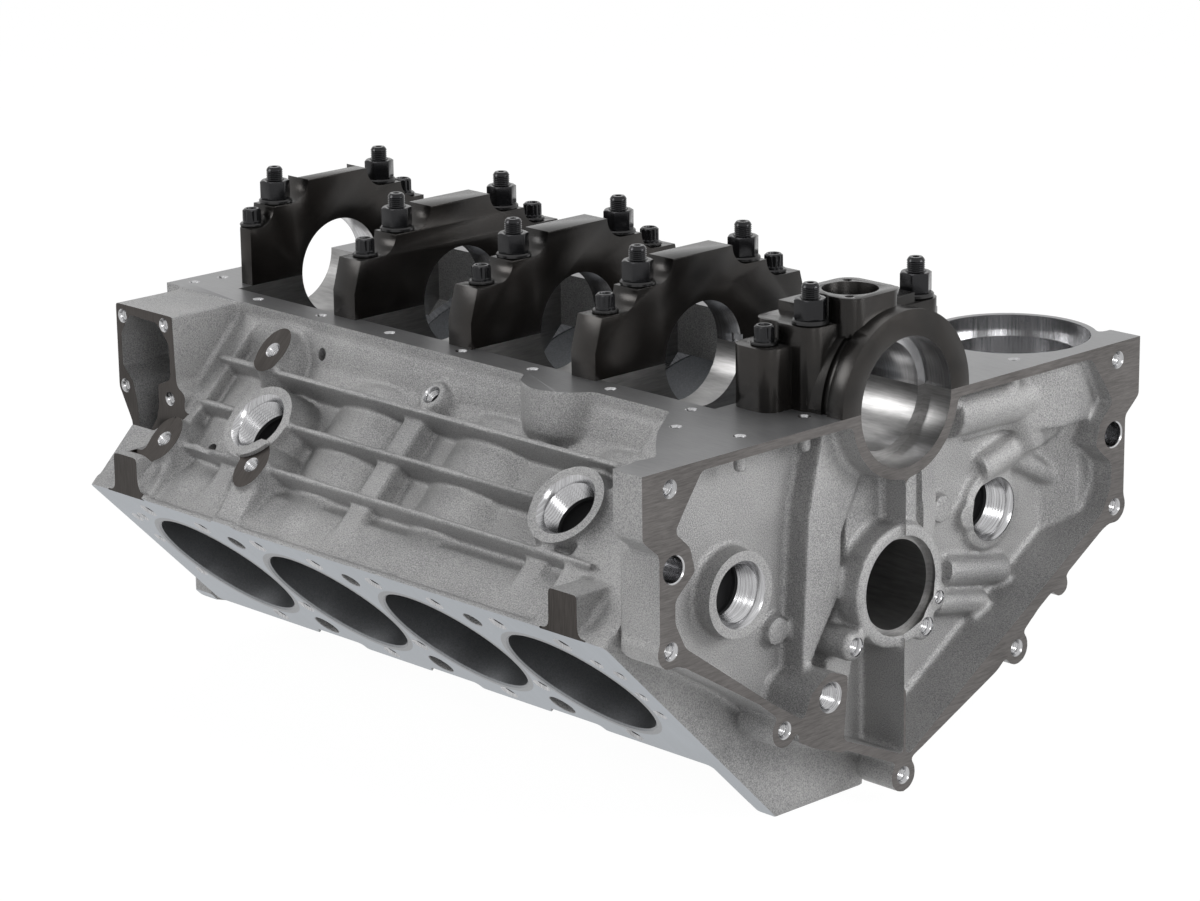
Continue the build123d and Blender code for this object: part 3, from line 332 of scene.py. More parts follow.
def modified(obj: Piece, kind: str, **settings: object) -> Piece:
    """Adds a modifier and applies it.

    Args:
        obj: the object to change.
        kind: the modifier's type.
        settings: the modifier's values.

    Returns:
        The same object.
    """
    only(obj)
    modifier = obj.modifiers.new("shape", kind)
    for key, value in settings.items():
        setattr(modifier, key, value)
    bpy.ops.object.modifier_apply(modifier=modifier.name)
    return obj


def cut(target: Piece, cutter: Piece, operation: str = "DIFFERENCE") -> None:
    """Cuts one solid out of another, or keeps what they share, and removes the cutter."""
    modified(target, "BOOLEAN", operation=operation, solver="MANIFOLD", object=cutter)
    remove(cutter)


def bevelled(obj: Piece, width: float, degrees: float) -> Piece:
    """Rounds the edges that are sharper than an angle."""
    return modified(obj, "BEVEL", width=width * MM, segments=2, limit_method="ANGLE",
                    angle_limit=radians(degrees), harden_normals=False)


def merged_copy(node: str, name: str) -> Piece:
    """Copies a CAD node and merges its loose triangles.

    Args:
        node: the CAD node's name.
        name: the copy's name.

    Returns:
        The copy, free of the node's parent, labels and materials.
    """
    obj = duplicate(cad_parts[node], name)
    obj.parent = None
    for key in list(obj.keys()):
        del obj[key]
    obj.data.materials.clear()
    with editing(obj):
        bpy.ops.mesh.remove_doubles(threshold=WELD)
    if obj.data.has_custom_normals:
        bpy.ops.mesh.customdata_custom_splitnormals_clear()
    return obj


def smooth(obj: Piece, degrees: float) -> Piece:
    """Shades a piece smooth except over edges sharper than an angle."""
    only(obj)
    bpy.ops.object.shade_smooth_by_angle(angle=radians(degrees))
    return obj


def fill_slots(obj: Piece, materials: Iterable[bpy.types.Material]) -> Piece:
    """Gives a piece material slots, and keeps which face uses which slot.

    Args:
        obj: the piece.
        materials: what goes into its slots, in order.

    Returns:
        The same piece.
    """
    kept = [polygon.material_index for polygon in obj.data.polygons]
    obj.data.materials.clear()
    for material in materials:
        obj.data.materials.append(material)
    obj.data.polygons.foreach_set("material_index", kept)
    return obj


def dress(obj: Piece, materials: Iterable[bpy.types.Material], node: str) -> None:
    """Finishes a piece for the scene.

    Args:
        obj: the piece.
        materials: its materials, in the order of its slots.
        node: the CAD node that it stands for.
    """
    fill_slots(obj, materials)
    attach(obj, "root")
    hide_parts(node)
    report("%s: %d faces", obj.name, len(obj.data.polygons))


# Finishes


def socket(group: bpy.types.NodeTree, name: str, way: str, kind: str = "NodeSocketFloat",
           value: Optional[float] = None) -> None:
    """Adds one named socket to a node group.

    Args:
        group: the node group.
        name: the socket's name.
        way: "INPUT" or "OUTPUT".
        kind: the socket's type.
        value: its default value, for a number.
    """
    made = group.interface.new_socket(name=name, in_out=way, socket_type=kind)
    if value is not None:
        made.default_value = value


class SurfaceGroup:
    """The node group that every metal uses: grain, tool lines and cloudy tone, from object coordinates."""

    inputs = {"Grain Scale": 900.0, "Grain Depth": 1.0, "Line Depth": 0.0, "Cloud Scale": 14.0,
              "Cloud Amount": 0.3, "Grain Tone": 0.3, "Line Tone": 0.0}
    middle = 0.5
    cloud_gloss = 0.5
    line_gloss = 0.25
    tree: Optional[bpy.types.NodeTree] = None

    @classmethod
    def get(cls) -> bpy.types.NodeTree:
        """The group, built at its first use."""
        if cls.tree is None:
            cls.tree = cls.build()
        return cls.tree

    @classmethod
    def build(cls) -> bpy.types.NodeTree:
        """Builds the group.

        Returns:
            The node group with the outputs Tone, Gloss and Height.
        """
        group = bpy.data.node_groups.new("metal_surface", "ShaderNodeTree")
        for name in ("Place", "Stretch"):
            socket(group, name, "INPUT", "NodeSocketVector")
        for name, value in cls.inputs.items():
            socket(group, name, "INPUT", value=value)
        for name in ("Tone", "Gloss", "Height"):
            socket(group, name, "OUTPUT")
        nodes, links = group.nodes, group.links
        given = nodes.new("NodeGroupInput").outputs
        results = nodes.new("NodeGroupOutput").inputs

        def maths(kind: str, *terms: object) -> bpy.types.NodeSocket:
            """One sum or product of two sockets or numbers."""
            node = nodes.new("ShaderNodeMath")
            node.operation = kind
            for index, term in enumerate(terms):
                if isinstance(term, float):
                    node.inputs[index].default_value = term
                else:
                    links.new(term, node.inputs[index])
            return node.outputs[0]

        def noise(vector: object, scale: object, detail: float, rough: float) -> bpy.types.NodeSocket:
            """One noise pattern, centred on zero."""
            node = nodes.new("ShaderNodeTexNoise")
            node.inputs["Detail"].default_value = detail
            node.inputs["Roughness"].default_value = rough
            links.new(vector, node.inputs["Vector"])
            if isinstance(scale, float):
                node.inputs["Scale"].default_value = scale
            else:
                links.new(scale, node.inputs["Scale"])
            return maths("SUBTRACT", node.outputs["Fac"], cls.middle)

        grain = noise(given["Place"], given["Grain Scale"], detail=3.0, rough=0.62)
        cloud = noise(given["Place"], given["Cloud Scale"], detail=4.0, rough=0.55)
        stretched = nodes.new("ShaderNodeVectorMath")
        stretched.operation = "MULTIPLY"
        links.new(given["Place"], stretched.inputs[0])
        links.new(given["Stretch"], stretched.inputs[1])
        lines = noise(stretched.outputs[0], 1.0, detail=2.0, rough=0.7)
        tone = maths("ADD", maths("MULTIPLY", grain, given["Grain Tone"]),
                     maths("MULTIPLY", cloud, given["Cloud Amount"]))
        tone = maths("ADD", tone, maths("MULTIPLY", lines, given["Line Tone"]))
        height = maths("ADD", maths("MULTIPLY", grain, given["Grain Depth"]),
                       maths("MULTIPLY", lines, given["Line Depth"]))
        gloss = maths("ADD", maths("MULTIPLY", cloud, cls.cloud_gloss),
                      maths("MULTIPLY", lines, cls.line_gloss))
        links.new(maths("ADD", tone, cls.middle), results["Tone"])
        links.new(maths("ADD", gloss, cls.middle), results["Gloss"])
        links.new(height, results["Height"])
        return group


@dataclass(frozen=True)
class Metal:
    """One metal finish. Colours are linear, and depths are in millimetres."""

    name: str
    dark: Point
    light: Point
    rough: Pair
    metallic: float = 1.0
    grain_scale: float = 900.0
    grain_depth: float = 0.0
    grain_tone: float = 0.2
    stretch: Point = (1.0, 1.0, 1.0)
    line_depth: float = 0.0
    line_tone: float = 0.0
    cloud_scale: float = 14.0
    cloud_amount: float = 0.5
    bump_reach: float = 0.6
    ramp: Pair = (0.25, 0.75)

    def material(self) -> bpy.types.Material:
        """Builds the material at its first use.

        Returns:
            The material, the same one each time.
        """
        known = bpy.data.materials.get(self.name)
        if known:
            return known
        material = bpy.data.materials.new(self.name)
        material.use_nodes = True
        nodes, links = material.node_tree.nodes, material.node_tree.links
        shader = nodes["Principled BSDF"]
        shader.inputs["Metallic"].default_value = self.metallic
        coordinates = nodes.new("ShaderNodeTexCoord")
        surface = nodes.new("ShaderNodeGroup")
        surface.node_tree = SurfaceGroup.get()
        links.new(coordinates.outputs["Object"], surface.inputs["Place"])
        surface.inputs["Stretch"].default_value = self.stretch
        for name in SurfaceGroup.inputs:
            surface.inputs[name].default_value = getattr(self, name.lower().replace(" ", "_"))
        colours = nodes.new("ShaderNodeValToRGB")
        ends = colours.color_ramp.elements
        for element, position, colour in zip(ends, self.ramp, (self.dark, self.light)):
            element.position = position
            element.color = (*colour, 1.0)
        links.new(surface.outputs["Tone"], colours.inputs["Fac"])
        links.new(colours.outputs["Color"], shader.inputs["Base Color"])
        gloss = nodes.new("ShaderNodeMapRange")
        gloss.inputs["To Min"].default_value, gloss.inputs["To Max"].default_value = self.rough
        links.new(surface.outputs["Gloss"], gloss.inputs["Value"])
        links.new(gloss.outputs["Result"], shader.inputs["Roughness"])
        if self.grain_depth or self.line_depth:
            bump = nodes.new("ShaderNodeBump")
            bump.inputs["Distance"].default_value = self.bump_reach * MM
            links.new(surface.outputs["Height"], bump.inputs["Height"])
            links.new(bump.outputs["Normal"], shader.inputs["Normal"])
        return material


CAST = Metal("sand_cast_skin", (0.18, 0.18, 0.183), (0.45, 0.445, 0.44), (0.34, 0.46), metallic=0.35,
             grain_scale=1250.0, grain_depth=1.0, grain_tone=1.5, cloud_amount=0.5, bump_reach=0.5)
RAIL = Metal("ground_rail", (0.16, 0.16, 0.163), (0.29, 0.29, 0.295), (0.26, 0.40), metallic=0.65,
             stretch=(60.0, 900.0, 60.0), line_depth=0.12, line_tone=0.5, grain_tone=0.0, bump_reach=0.1)
DECK = Metal("milled_deck", (0.20, 0.222, 0.245), (0.32, 0.348, 0.385), (0.24, 0.36),
             stretch=(420.0, 30.0, 30.0), line_depth=0.15, line_tone=0.3, grain_tone=0.0, bump_reach=0.1)
BELL = Metal("milled_bell_face", (0.080, 0.075, 0.073), (0.175, 0.165, 0.16), (0.30, 0.42),
             stretch=(40.0, 90.0, 1100.0), line_depth=0.25, line_tone=0.7, grain_tone=0.1, bump_reach=0.12)
PAD = Metal("milled_pad", (0.030, 0.027, 0.025), (0.075, 0.068, 0.064), (0.26, 0.36),
            stretch=(900.0, 60.0, 60.0), line_depth=0.2, line_tone=0.6, grain_tone=0.0, bump_reach=0.1)
BRIGHT = Metal("bright_cut_metal", (0.28, 0.28, 0.285), (0.60, 0.60, 0.61), (0.16, 0.28),
               stretch=(1500.0, 40.0, 40.0), line_depth=0.3, line_tone=0.9, grain_tone=0.0, bump_reach=0.12)
WEB = Metal("milled_web", (0.17, 0.168, 0.168), (0.36, 0.356, 0.352), (0.22, 0.36), metallic=0.85,
            stretch=(60.0, 60.0, 700.0), line_depth=0.2, line_tone=0.6, grain_tone=0.0, bump_reach=0.1)
# painted shade: a near-black finish that stands in for the shade deep in holes and passages
DEPTH = Metal("painted_shade_passage", (0.004, 0.004, 0.005), (0.012, 0.012, 0.013), (0.6, 0.8), metallic=0.0,
              grain_tone=0.4)
LINER = Metal("honed_iron", (0.15, 0.155, 0.163), (0.30, 0.308, 0.32), (0.30, 0.42), metallic=0.9,
              grain_scale=1600.0, grain_depth=0.3, grain_tone=0.5, stretch=(700.0, 700.0, 700.0),
              line_depth=0.2, line_tone=0.4, bump_reach=0.15)
BLACK_CAP = Metal("black_oxide_cap", (0.006, 0.006, 0.006), (0.032, 0.028, 0.025), (0.16, 0.30),
                  metallic=0.6, grain_scale=1400.0, grain_depth=0.3, grain_tone=0.3, cloud_scale=22.0,
                  cloud_amount=0.9, bump_reach=0.15)
BLACK_BOLT = Metal("black_oxide_fastener", (0.006, 0.006, 0.007), (0.026, 0.026, 0.028), (0.16, 0.26),
                   metallic=0.6, grain_scale=1800.0, grain_depth=0.2, grain_tone=0.3, bump_reach=0.1)
WASHER = Metal("dark_washer", (0.020, 0.020, 0.021), (0.050, 0.049, 0.049), (0.22, 0.32), metallic=0.8,
               grain_scale=1800.0, grain_depth=0.2, grain_tone=0.3, bump_reach=0.1)


def casting_materials() -> list[bpy.types.Material]:
    """The casting's materials, in the order of Skin."""
    return [finish.material() for finish in (CAST, RAIL, DECK, BELL, PAD, BRIGHT, WEB, DEPTH)]


def paint(obj: Piece, skin: Skin) -> Piece:
    """Gives the casting or a cutter the casting's slots, and one skin to all its faces."""
    obj.data.polygons.foreach_set("material_index", [skin.value] * len(obj.data.polygons))
    return fill_slots(obj, casting_materials())


# The casting


@dataclass(frozen=True)
class HoleKind:
    """The shape of a round hole, in millimetres. One with no pitch has plain walls. A threaded or
    open-ended one gets painted shade, a near-black finish, deeper than its lit share of the depth.
    """

    radius: float
    depth: float
    pitch: float = 0.0
    chamfer: float = 0.8
    skin: Skin = Skin.BRIGHT
    segments: int = 28
    open_end: bool = False
    # share of the depth that keeps the hole's own finish; deeper faces get painted shade
    lit_share: float = 0.55
    end_share: float = 0.98
    thread_share: float = 0.45

    def profile(self, reach: float) -> list[Pair]:
        """The rings of the hole's cutter.

        Args:
            reach: how far the cutter stands out of the hole's mouth.

        Returns:
            The rings, from the bottom of the hole to above its mouth.
        """
        rings = [(self.radius * self.end_share, -self.depth)]
        if self.pitch:
            height = -self.depth + self.pitch
            while height < -self.chamfer - self.pitch:
                crest = self.radius - self.pitch * self.thread_share
                rings += [(self.radius, height), (crest, height + self.pitch / 2)]
                height += self.pitch
        mouth = self.radius + self.chamfer
        return rings + [(self.radius, -self.chamfer), (mouth, 0.0), (mouth, reach)]


HEAD_BOLT = HoleKind(5.4, 34, 1.5)
SMALL_WATER = HoleKind(6.5, 16, 0.0, 0.4, Skin.CAST, open_end=True)
LARGE_WATER = HoleKind(9.0, 16, 0.0, 0.4, Skin.CAST, open_end=True)
DECK_END = HoleKind(3.8, 14, 1.2, open_end=True)
MOUNT_BOLT = HoleKind(4.6, 25, 1.5)
DRAIN = HoleKind(5.6, 14, 1.5)
CORE_PLUG = HoleKind(18.5, 25, 2.2, 2.0, segments=56, open_end=True, lit_share=0.8)
PAN_BOLT = HoleKind(3.2, 20, 1.2, 0.7, segments=20)
BELL_BOLT = HoleKind(4.4, 26, 1.5, 1.2)
BELL_DOWEL = HoleKind(7.95, 22, 0.0, 0.8, segments=36)
FRONT_BOLT = HoleKind(2.9, 14, 1.2, 0.6, segments=20)
WALL_DUCT = HoleKind(3.6, 24, 0.0, 0.4, Skin.CAST, 20)
SLOPE_PLUG = HoleKind(8.5, 26, 1.6, 1.2, segments=36)
CAM_PLATE_BOLT = HoleKind(5.2, 18, 1.5)
CAM_OIL_PLUG = HoleKind(3.6, 18, 1.5)
FUEL_BOLT = HoleKind(3.9, 21, 1.5)


@dataclass(frozen=True)
class Hole:
    """A round hole, by its kind, its mouth and the direction out of it."""

    kind: HoleKind
    mouth: Point
    outward: Point


@dataclass(frozen=True)
class Face:
    """A flat machined face: a point on it, its outward normal, and half its reach for a small one."""

    point: Point
    normal: Point
    skin: Skin
    reach: float = 0.0


@dataclass
class Flank:
    """The relief of one outer wall: deep rows between the ribs, with barrels, columns and bosses in them.

    Places are along the crank, up the bore axis, and out from the plane of the bores, in millimetres.
    """

    side: int
    bores: Sequence[float]
    plugs: Rings
    mounts: Rings
    reach_x: Pair
    first_bore: float = -156.46
    ribs: tuple[float, ...] = (119.5, 152.5, 184.5)
    rib_edge: float = 2.1
    rib_root: float = 3.6
    rib_crest: float = 78.5
    outside: float = 92.0
    floor: float = 56.0
    foot_floor: float = 59.0
    deck_floor: float = 58.0
    foot: Rings = ((92.0, 86.0), (72.5, 86.0), (62.0, 102.0))
    head: Rings = ((66.0, 197.0), (71.0, 226.0), (92.0, 226.0))
    deck_height: float = 229.24
    barrel: Rings = ((50.0, 92.0), (65.0, 106.0), (65.0, 190.0), (69.0, 204.0), (71.5, 229.2))
    plug_cone: Rings = ((33.0, 50.0), (30.5, 66.0), (26.5, 74.0), (26.5, 83.0))
    mount_cone: Rings = ((21.0, 50.0), (16.0, 68.0), (12.6, 76.0), (12.2, 84.0))
    mount_stretch: float = 1.375
    ridge: Rings = ((-18.0, 50.0), (18.0, 50.0), (11.5, 79.0), (-11.5, 79.0))
    ridge_drop: float = 6.0
    ridge_top: float = 70.0
    column: Rings = ((-11.0, 50.0), (13.0, 50.0), (8.5, 69.0), (-8.5, 69.0))
    columns: Rings = ((-125.0, 187.0), (3.6, 112.0), (163.0, 186.0))
    drain: Pair = (7.7, 104.6)
    drain_cone: Rings = ((17.0, 52.0), (12.0, 66.0), (9.5, 72.0))
    lobe: Pair = (108.7, 98.0)
    lobe_rings: Rings = ((18.3, -39.0), (28.3, -35.0), (32.3, -28.0), (32.3, 0.0))

    def across(self) -> Matrix:
        """Turns (out, up the bore, along the crank) into the block's frame."""
        slant = self.side * SLANT
        return Matrix(((0, 0, 1, 0), (slant, slant, 0, 0), (SLANT, -SLANT, 0, 0), (0, 0, 0, 1)))

    def up_bore(self) -> Matrix:
        """Turns (along the crank, out, up the bore) into the block's frame."""
        slant = self.side * SLANT
        return Matrix(((1, 0, 0, 0), (0, slant, slant, 0), (0, SLANT, -SLANT, 0), (0, 0, 0, 1)))

    def rib_face(self, rib: float, way: int, floor: float) -> list[Pair]:
        """A trough's corners along one rib.

        Args:
            rib: the rib's place up the bore.
            way: -1 for the trough under the rib, and 1 for the one over it.
            floor: the trough's level at the rib's root.

        Returns:
            The corners, from the floor outwards.
        """
        edge = rib + way * self.rib_edge
        return [(floor, rib + way * self.rib_root), (self.rib_crest, edge), (self.outside, edge)]

    def rows(self) -> list[Piece]:
        """Makes what is cut away.

        Returns:
            One trough under the first rib, one between each pair, and one up to the deck.
        """
        first, *_, last = self.ribs
        troughs = [[*self.foot, *self.rib_face(first, -1, self.foot_floor)]]
        for low, high in zip(self.ribs, self.ribs[1:]):
            troughs.append(self.rib_face(low, 1, self.floor)[::-1] + self.rib_face(high, -1, self.floor))
        troughs.append([*self.rib_face(last, 1, self.deck_floor)[::-1], *self.head])
        return [drawn("trough", outline, *self.reach_x, self.across()) for outline in troughs]

    def cone(self, rings: Rings, x: float, along: float, stretch: float = 1.0) -> Piece:
        """Makes a boss with drafted sides, square to the wall.

        Args:
            rings: its radii and its heights out of the bores' plane.
            x: its place along the crank.
            along: its place up the bore.
            stretch: its length up the bore, as a share of its width.

        Returns:
            The boss in its place.
        """
        boss = turned("boss", rings, 40)
        boss.scale.y = stretch
        return place(settle(boss), in_bank(self.side, x, 0.0, along), bank_out(self.side))

    def post(self, name: str, outline: Rings, x: float, start: float) -> Piece:
        """A post on the wall that runs up to the deck."""
        return drawn(name, [(x + u, v) for u, v in outline], start, self.deck_height, self.up_bore())

    def bosses(self) -> list[Piece]:
        """Makes what stands in the troughs.

        Returns:
            The barrels, bosses, ridges, columns and lobe in their places.
        """
        axis = bank_axis(self.side)
        solids = [place(turned("barrel", self.barrel, 96), (x, 0, 0), axis) for x in self.bores]
        solids += [self.cone(self.plug_cone, x, along) for x, along in self.plugs]
        solids += [self.cone(self.mount_cone, x, along, self.mount_stretch) for x, along in self.mounts]
        solids.append(self.cone(self.drain_cone, *self.drain))
        solids += [self.sloped(self.post("ridge", self.ridge, x, along)) for x, along in self.mounts[1:]]
        set_back = self.bores[0] - self.first_bore
        solids += [self.post("column", self.column, x + set_back, along) for x, along in self.columns]
        x, y = self.lobe
        solids.append(place(turned("lobe", self.lobe_rings, 64), (x, self.side * y, 0), OFF_RAIL))
        return solids

    def sloped(self, ridge: Piece) -> Piece:
        """Lowers the deck end of a ridge's top.

        Args:
            ridge: the ridge in its place.

        Returns:
            The same ridge.
        """
        out, axis = Vector(bank_out(self.side)), Vector(bank_axis(self.side))
        for vertex in ridge.data.vertices:
            at_deck = vertex.co.dot(axis) > (self.deck_height - 1) * MM
            if at_deck and vertex.co.dot(out) > self.ridge_top * MM:
                vertex.co -= out * self.ridge_drop * MM
        return ridge


@dataclass
class Casting:
    """The block casting: a soft cast skin with crisp machined faces, bores and holes cut into it."""

    bore_pitch: float = 111.76
    bank_stagger: float = 11.18
    deck_height: float = 229.24
    bore_radius: float = 50.8
    bore_clearance: float = 0.6
    liner_radius: float = 53.9
    flange_radius: float = 55.5
    flange_thick: float = 6.0
    liner_bottom: float = 96.0
    bore_opening: float = 90.0
    main_radius: float = 33.54
    seal_radius: float = 39.8
    seal_depth: float = 21.0
    cam_drop: float = 114.8
    cam_radius: float = 28.0
    cam_mouth: float = 3.0
    cam_mouth_depth: float = 8.0
    tunnel_radius: float = 36.0
    bell_x: float = 290.8
    front_x: float = -275.0
    web_half: float = 10.5
    bay_half_width: float = 89.0
    bay_floor_half: float = 34.0
    bay_top: float = 6.0
    mains: tuple[float, ...] = (-236.2, -111.76, 0.0, 111.76, 229.5)
    mounts: Rings = ((-137.0, 107.0), (-181.5, 187.0), (-92.5, 187.0))
    mount_face: float = 81.0
    mount_reach: float = 18.0
    side_plugs: Rings = ((-112.0, 157.0), (171.0, 153.5))
    plug_face: float = 80.0
    plug_reach: float = 28.0
    rear_plug_faces: tuple[Point, ...] = ((269.8, -119.4, -96.5), (261.0, 114.0, -96.5))
    corner_pads: Pair = (-192.0, 219.0)
    corner_z: float = -97.0
    corner_reach: float = 19.0
    deck_lip: float = 73.5
    fuel_face: float = 166.5
    fuel_middle: Pair = (-229.0, -40.0)
    fuel_reach: float = 45.0
    filter_place: Pair = (228.0, 168.5)
    filter_bore: float = 42.5
    filter_depth: float = 36.0
    filter_rim: float = 50.4
    filter_rim_depth: float = 12.0
    trough_front: float = -178.0
    trough_rears: Pair = (192.0, 170.0)
    outer_bolts: float = 57.5
    inner_bolts: float = -62.0
    between_bolts: float = -28.0
    outer_water: float = 50.0
    inner_water: float = -52.0
    rear_deck_ends: Rings = ((46.0, 43.5), (60.0, 36.5), (60.0, 12.0), (60.0, -9.0))
    front_deck_ends: Rings = ((48.0, 43.0), (58.0, 38.5), (60.0, 11.5), (53.0, -28.0))
    drain: Point = (7.7, 72.0, 104.6)
    pan_bolts: Rings = (*((x, 99.0) for x in (-193.0, -128.0, -60.4, 7.7, 73.0, 141.5, 209.6)),
                        (-260.0, 75.0), (-263.0, 97.0), (268.3, 64.5), (270.8, 121.0))
    odd_pan_bolt: Pair = (229.8, -132.0)
    bell_bolts: Rings = ((197.8, -11.4), (197.8, -107.2), (104.6, -178.6))
    bell_dowel: Pair = (195.1, -59.4)
    lowest_bell_bolt: float = -234.4
    front_bolts: Rings = ((79.0, -22.0), (77.0, -58.0), (66.0, -114.0), (45.0, -158.0))
    wall_ducts: Rings = ((-110.0, 95.0), (-155.0, 178.0))
    slope_plug: Pair = (-65.3, -168.0)
    cam_plate_bolts: Rings = ((-41.0, -143.0), (22.0, -145.0))
    cam_oil_plug: Pair = (33.0, -129.0)
    cam_plate_sunk: float = 3.0
    fuel_bolts: Rings = ((-251.5, -9.0), (-207.5, -8.0), (-251.5, -56.5), (-204.0, -57.0))
    stock: float = 3.0
    stock_spread: float = 1.3
    filler_grow: float = 0.8
    bay_filler_grow: float = 0.6
    hole_filler_grow: float = 0.9
    plane_reach: float = 420.0
    plane_depth: float = 60.0
    pad_depth: float = 12.0
    voxel: float = 1.6
    softness: int = 3
    faces_wanted: int = 130000

    def bores(self, side: int) -> list[float]:
        """Crank-wise places of one bank's bores."""
        return [-1.5 * self.bore_pitch - side * self.bank_stagger + i * self.bore_pitch for i in range(4)]

    def plugs(self, side: int) -> list[Pair]:
        """Places of one outer wall's core plugs, set back with the bores of its bank."""
        return [(x - self.bank_stagger * (side + 1), along) for x, along in self.side_plugs]

    def flank(self, side: int) -> Flank:
        """The relief of one outer wall."""
        rear = self.trough_rears[BANKS.index(side)]
        return Flank(side, self.bores(side), self.plugs(side), self.mounts, (self.trough_front, rear))

    def faces(self) -> list[Face]:
        """Lists the machined faces.

        Returns:
            Every face, the large planes first.
        """
        found = [Face((0, 0, 0), OFF_RAIL, Skin.RAIL), Face((self.bell_x, 0, 0), TO_BELL, Skin.BELL),
                 Face((self.front_x, 0, 0), TO_FRONT, Skin.BELL)]
        found += [Face(in_bank(side, 0, 0, self.deck_height), bank_axis(side), Skin.DECK) for side in BANKS]
        corner_y = (self.deck_height + self.deck_lip) * SLANT
        for side in BANKS:
            out = bank_out(side)
            found += [Face(in_bank(side, x, self.mount_face, along), out, Skin.PAD, self.mount_reach)
                      for x, along in self.mounts]
            found += [Face(in_bank(side, x, self.plug_face, along), out, Skin.CAST, self.plug_reach)
                      for x, along in self.plugs(side)]
            found += [Face((x, side * corner_y, self.corner_z), (0, side, 0), Skin.PAD, self.corner_reach)
                      for x in self.corner_pads]
        found.append(Face(self.rear_plug_faces[0], TO_BELL, Skin.CAST, self.plug_reach))
        x, z = self.fuel_middle
        found.append(Face((x, -self.fuel_face, z), (0, -1, 0), Skin.PAD, self.fuel_reach))
        return found

    def deck_holes(self, side: int) -> list[tuple[HoleKind, list[Pair]]]:
        """Lists the holes of one deck. Those at the ends of the far deck are turned round, front to rear.

        Args:
            side: the bank, -1 or 1.

        Returns:
            Each kind with its places, along the crank and out from the bores' plane.
        """
        bores = self.bores(side)
        half, quarter = self.bore_pitch / 2, self.bore_pitch / 4
        bolts = [(bores[0] - quarter + i * half, self.outer_bolts) for i in range(8)]
        bolts += [(x + half, self.between_bolts) for x in bores[:-1]]
        bolts += [(x, self.inner_bolts) for x in bores]
        ends: list[Pair] = []
        for way, offsets in ((-side, self.rear_deck_ends), (side, self.front_deck_ends)):
            bore = bores[-1] if way > 0 else bores[0]
            ends += [(bore + way * reach, out) for reach, out in offsets]
        return [(HEAD_BOLT, bolts), (SMALL_WATER, [(x + half, self.outer_water) for x in bores[:-1]]),
                (LARGE_WATER, [(x + half, self.inner_water) for x in bores[:-1]]), (DECK_END, ends)]

    def holes(self) -> list[Hole]:
        """Lists every hole with one radius.

        Returns:
            The holes of both banks, and then those that stand on one side or in the middle.
        """
        found: list[Hole] = []

        def drill(kind: HoleKind, outward: Point, mouths: Iterable[Point]) -> None:
            """Adds a hole of one kind at each mouth."""
            found.extend(Hole(kind, mouth, outward) for mouth in mouths)

        for side in BANKS:
            out = bank_out(side)
            for kind, places in self.deck_holes(side):
                drill(kind, bank_axis(side), (in_bank(side, x, v, self.deck_height) for x, v in places))
            drill(MOUNT_BOLT, out, (in_bank(side, x, self.mount_face, along) for x, along in self.mounts))
            drill(DRAIN, out, [in_bank(side, *self.drain)])
            plugs = self.plugs(side)
            drill(CORE_PLUG, out, (in_bank(side, x, self.plug_face, along) for x, along in plugs))
            drill(PAN_BOLT, OFF_RAIL, ((x, side * y, 0) for x, y in self.pan_bolts))
            drill(BELL_BOLT, TO_BELL, ((self.bell_x, side * y, z) for y, z in self.bell_bolts))
            drill(BELL_DOWEL, TO_BELL, [(self.bell_x, side * self.bell_dowel[0], self.bell_dowel[1])])
            drill(FRONT_BOLT, TO_FRONT, ((self.front_x, side * y, z) for y, z in self.front_bolts))
        drill(PAN_BOLT, OFF_RAIL, [(*self.odd_pan_bolt, 0)])
        ducts = self.wall_ducts
        drill(WALL_DUCT, bank_out(-1), (in_bank(-1, x, self.plug_face, along) for x, along in ducts))
        drill(BELL_BOLT, TO_BELL, [(self.bell_x, 0, self.lowest_bell_bolt)])
        drill(SLOPE_PLUG, TO_BELL, [(self.bell_x, *self.slope_plug)])
        plate_x = self.bell_x - self.cam_plate_sunk
        drill(CAM_PLATE_BOLT, TO_BELL, ((plate_x, y, z) for y, z in self.cam_plate_bolts))
        drill(CAM_OIL_PLUG, TO_BELL, [(plate_x, *self.cam_oil_plug)])
        drill(CORE_PLUG, TO_BELL, self.rear_plug_faces)
        drill(FUEL_BOLT, (0, -1, 0), ((x, -self.fuel_face, z) for x, z in self.fuel_bolts))
        return found

    def hole_solids(self, filler: bool) -> list[Piece]:
        """Makes the cutters of the holes, or the plugs that fill them while the skin is made.

        Args:
            filler: True for plain plugs, slightly larger than the holes.

        Returns:
            One solid a hole, in its place.
        """
        models: dict[HoleKind, Piece] = {}
        made = []
        for hole in self.holes():
            kind = hole.kind
            if kind not in models:
                if filler:
                    radius = kind.radius + self.hole_filler_grow
                    models[kind] = turned("plug", [(radius, -kind.depth - 1.0), (radius, 2.0)], 20)
                else:
                    models[kind] = self.hole_cutter(kind)
            made.append(place(duplicate(models[kind], "hole"), hole.mouth, hole.outward))
        for model in models.values():
            remove(model)
        return made

    def hole_cutter(self, kind: HoleKind) -> Piece:
        """Makes the cutter of one kind of hole.

        Args:
            kind: the hole's shape.

        Returns:
            The cutter, with painted shade, a near-black finish, on its deep end where the hole is threaded
            or opens into a passage.
        """
        cutter = paint(turned("hole_cutter", kind.profile(self.stock + 3.0), kind.segments), kind.skin)
        if kind.open_end or kind.pitch:
            # painted shade on the faces deeper than the lit share
            for polygon in cutter.data.polygons:
                if polygon.center.z < -kind.depth * kind.lit_share * MM:
                    polygon.material_index = Skin.DEPTH.value
        return cutter

    def rod(self, start: Point, radius: float, length: float, axis: Point = TO_BELL) -> Piece:
        """A round bar from a point along an axis."""
        bar = turned("bar", [(radius, 0.0), (radius, length)], 96)
        return paint(place(bar, start, axis), Skin.CAST)

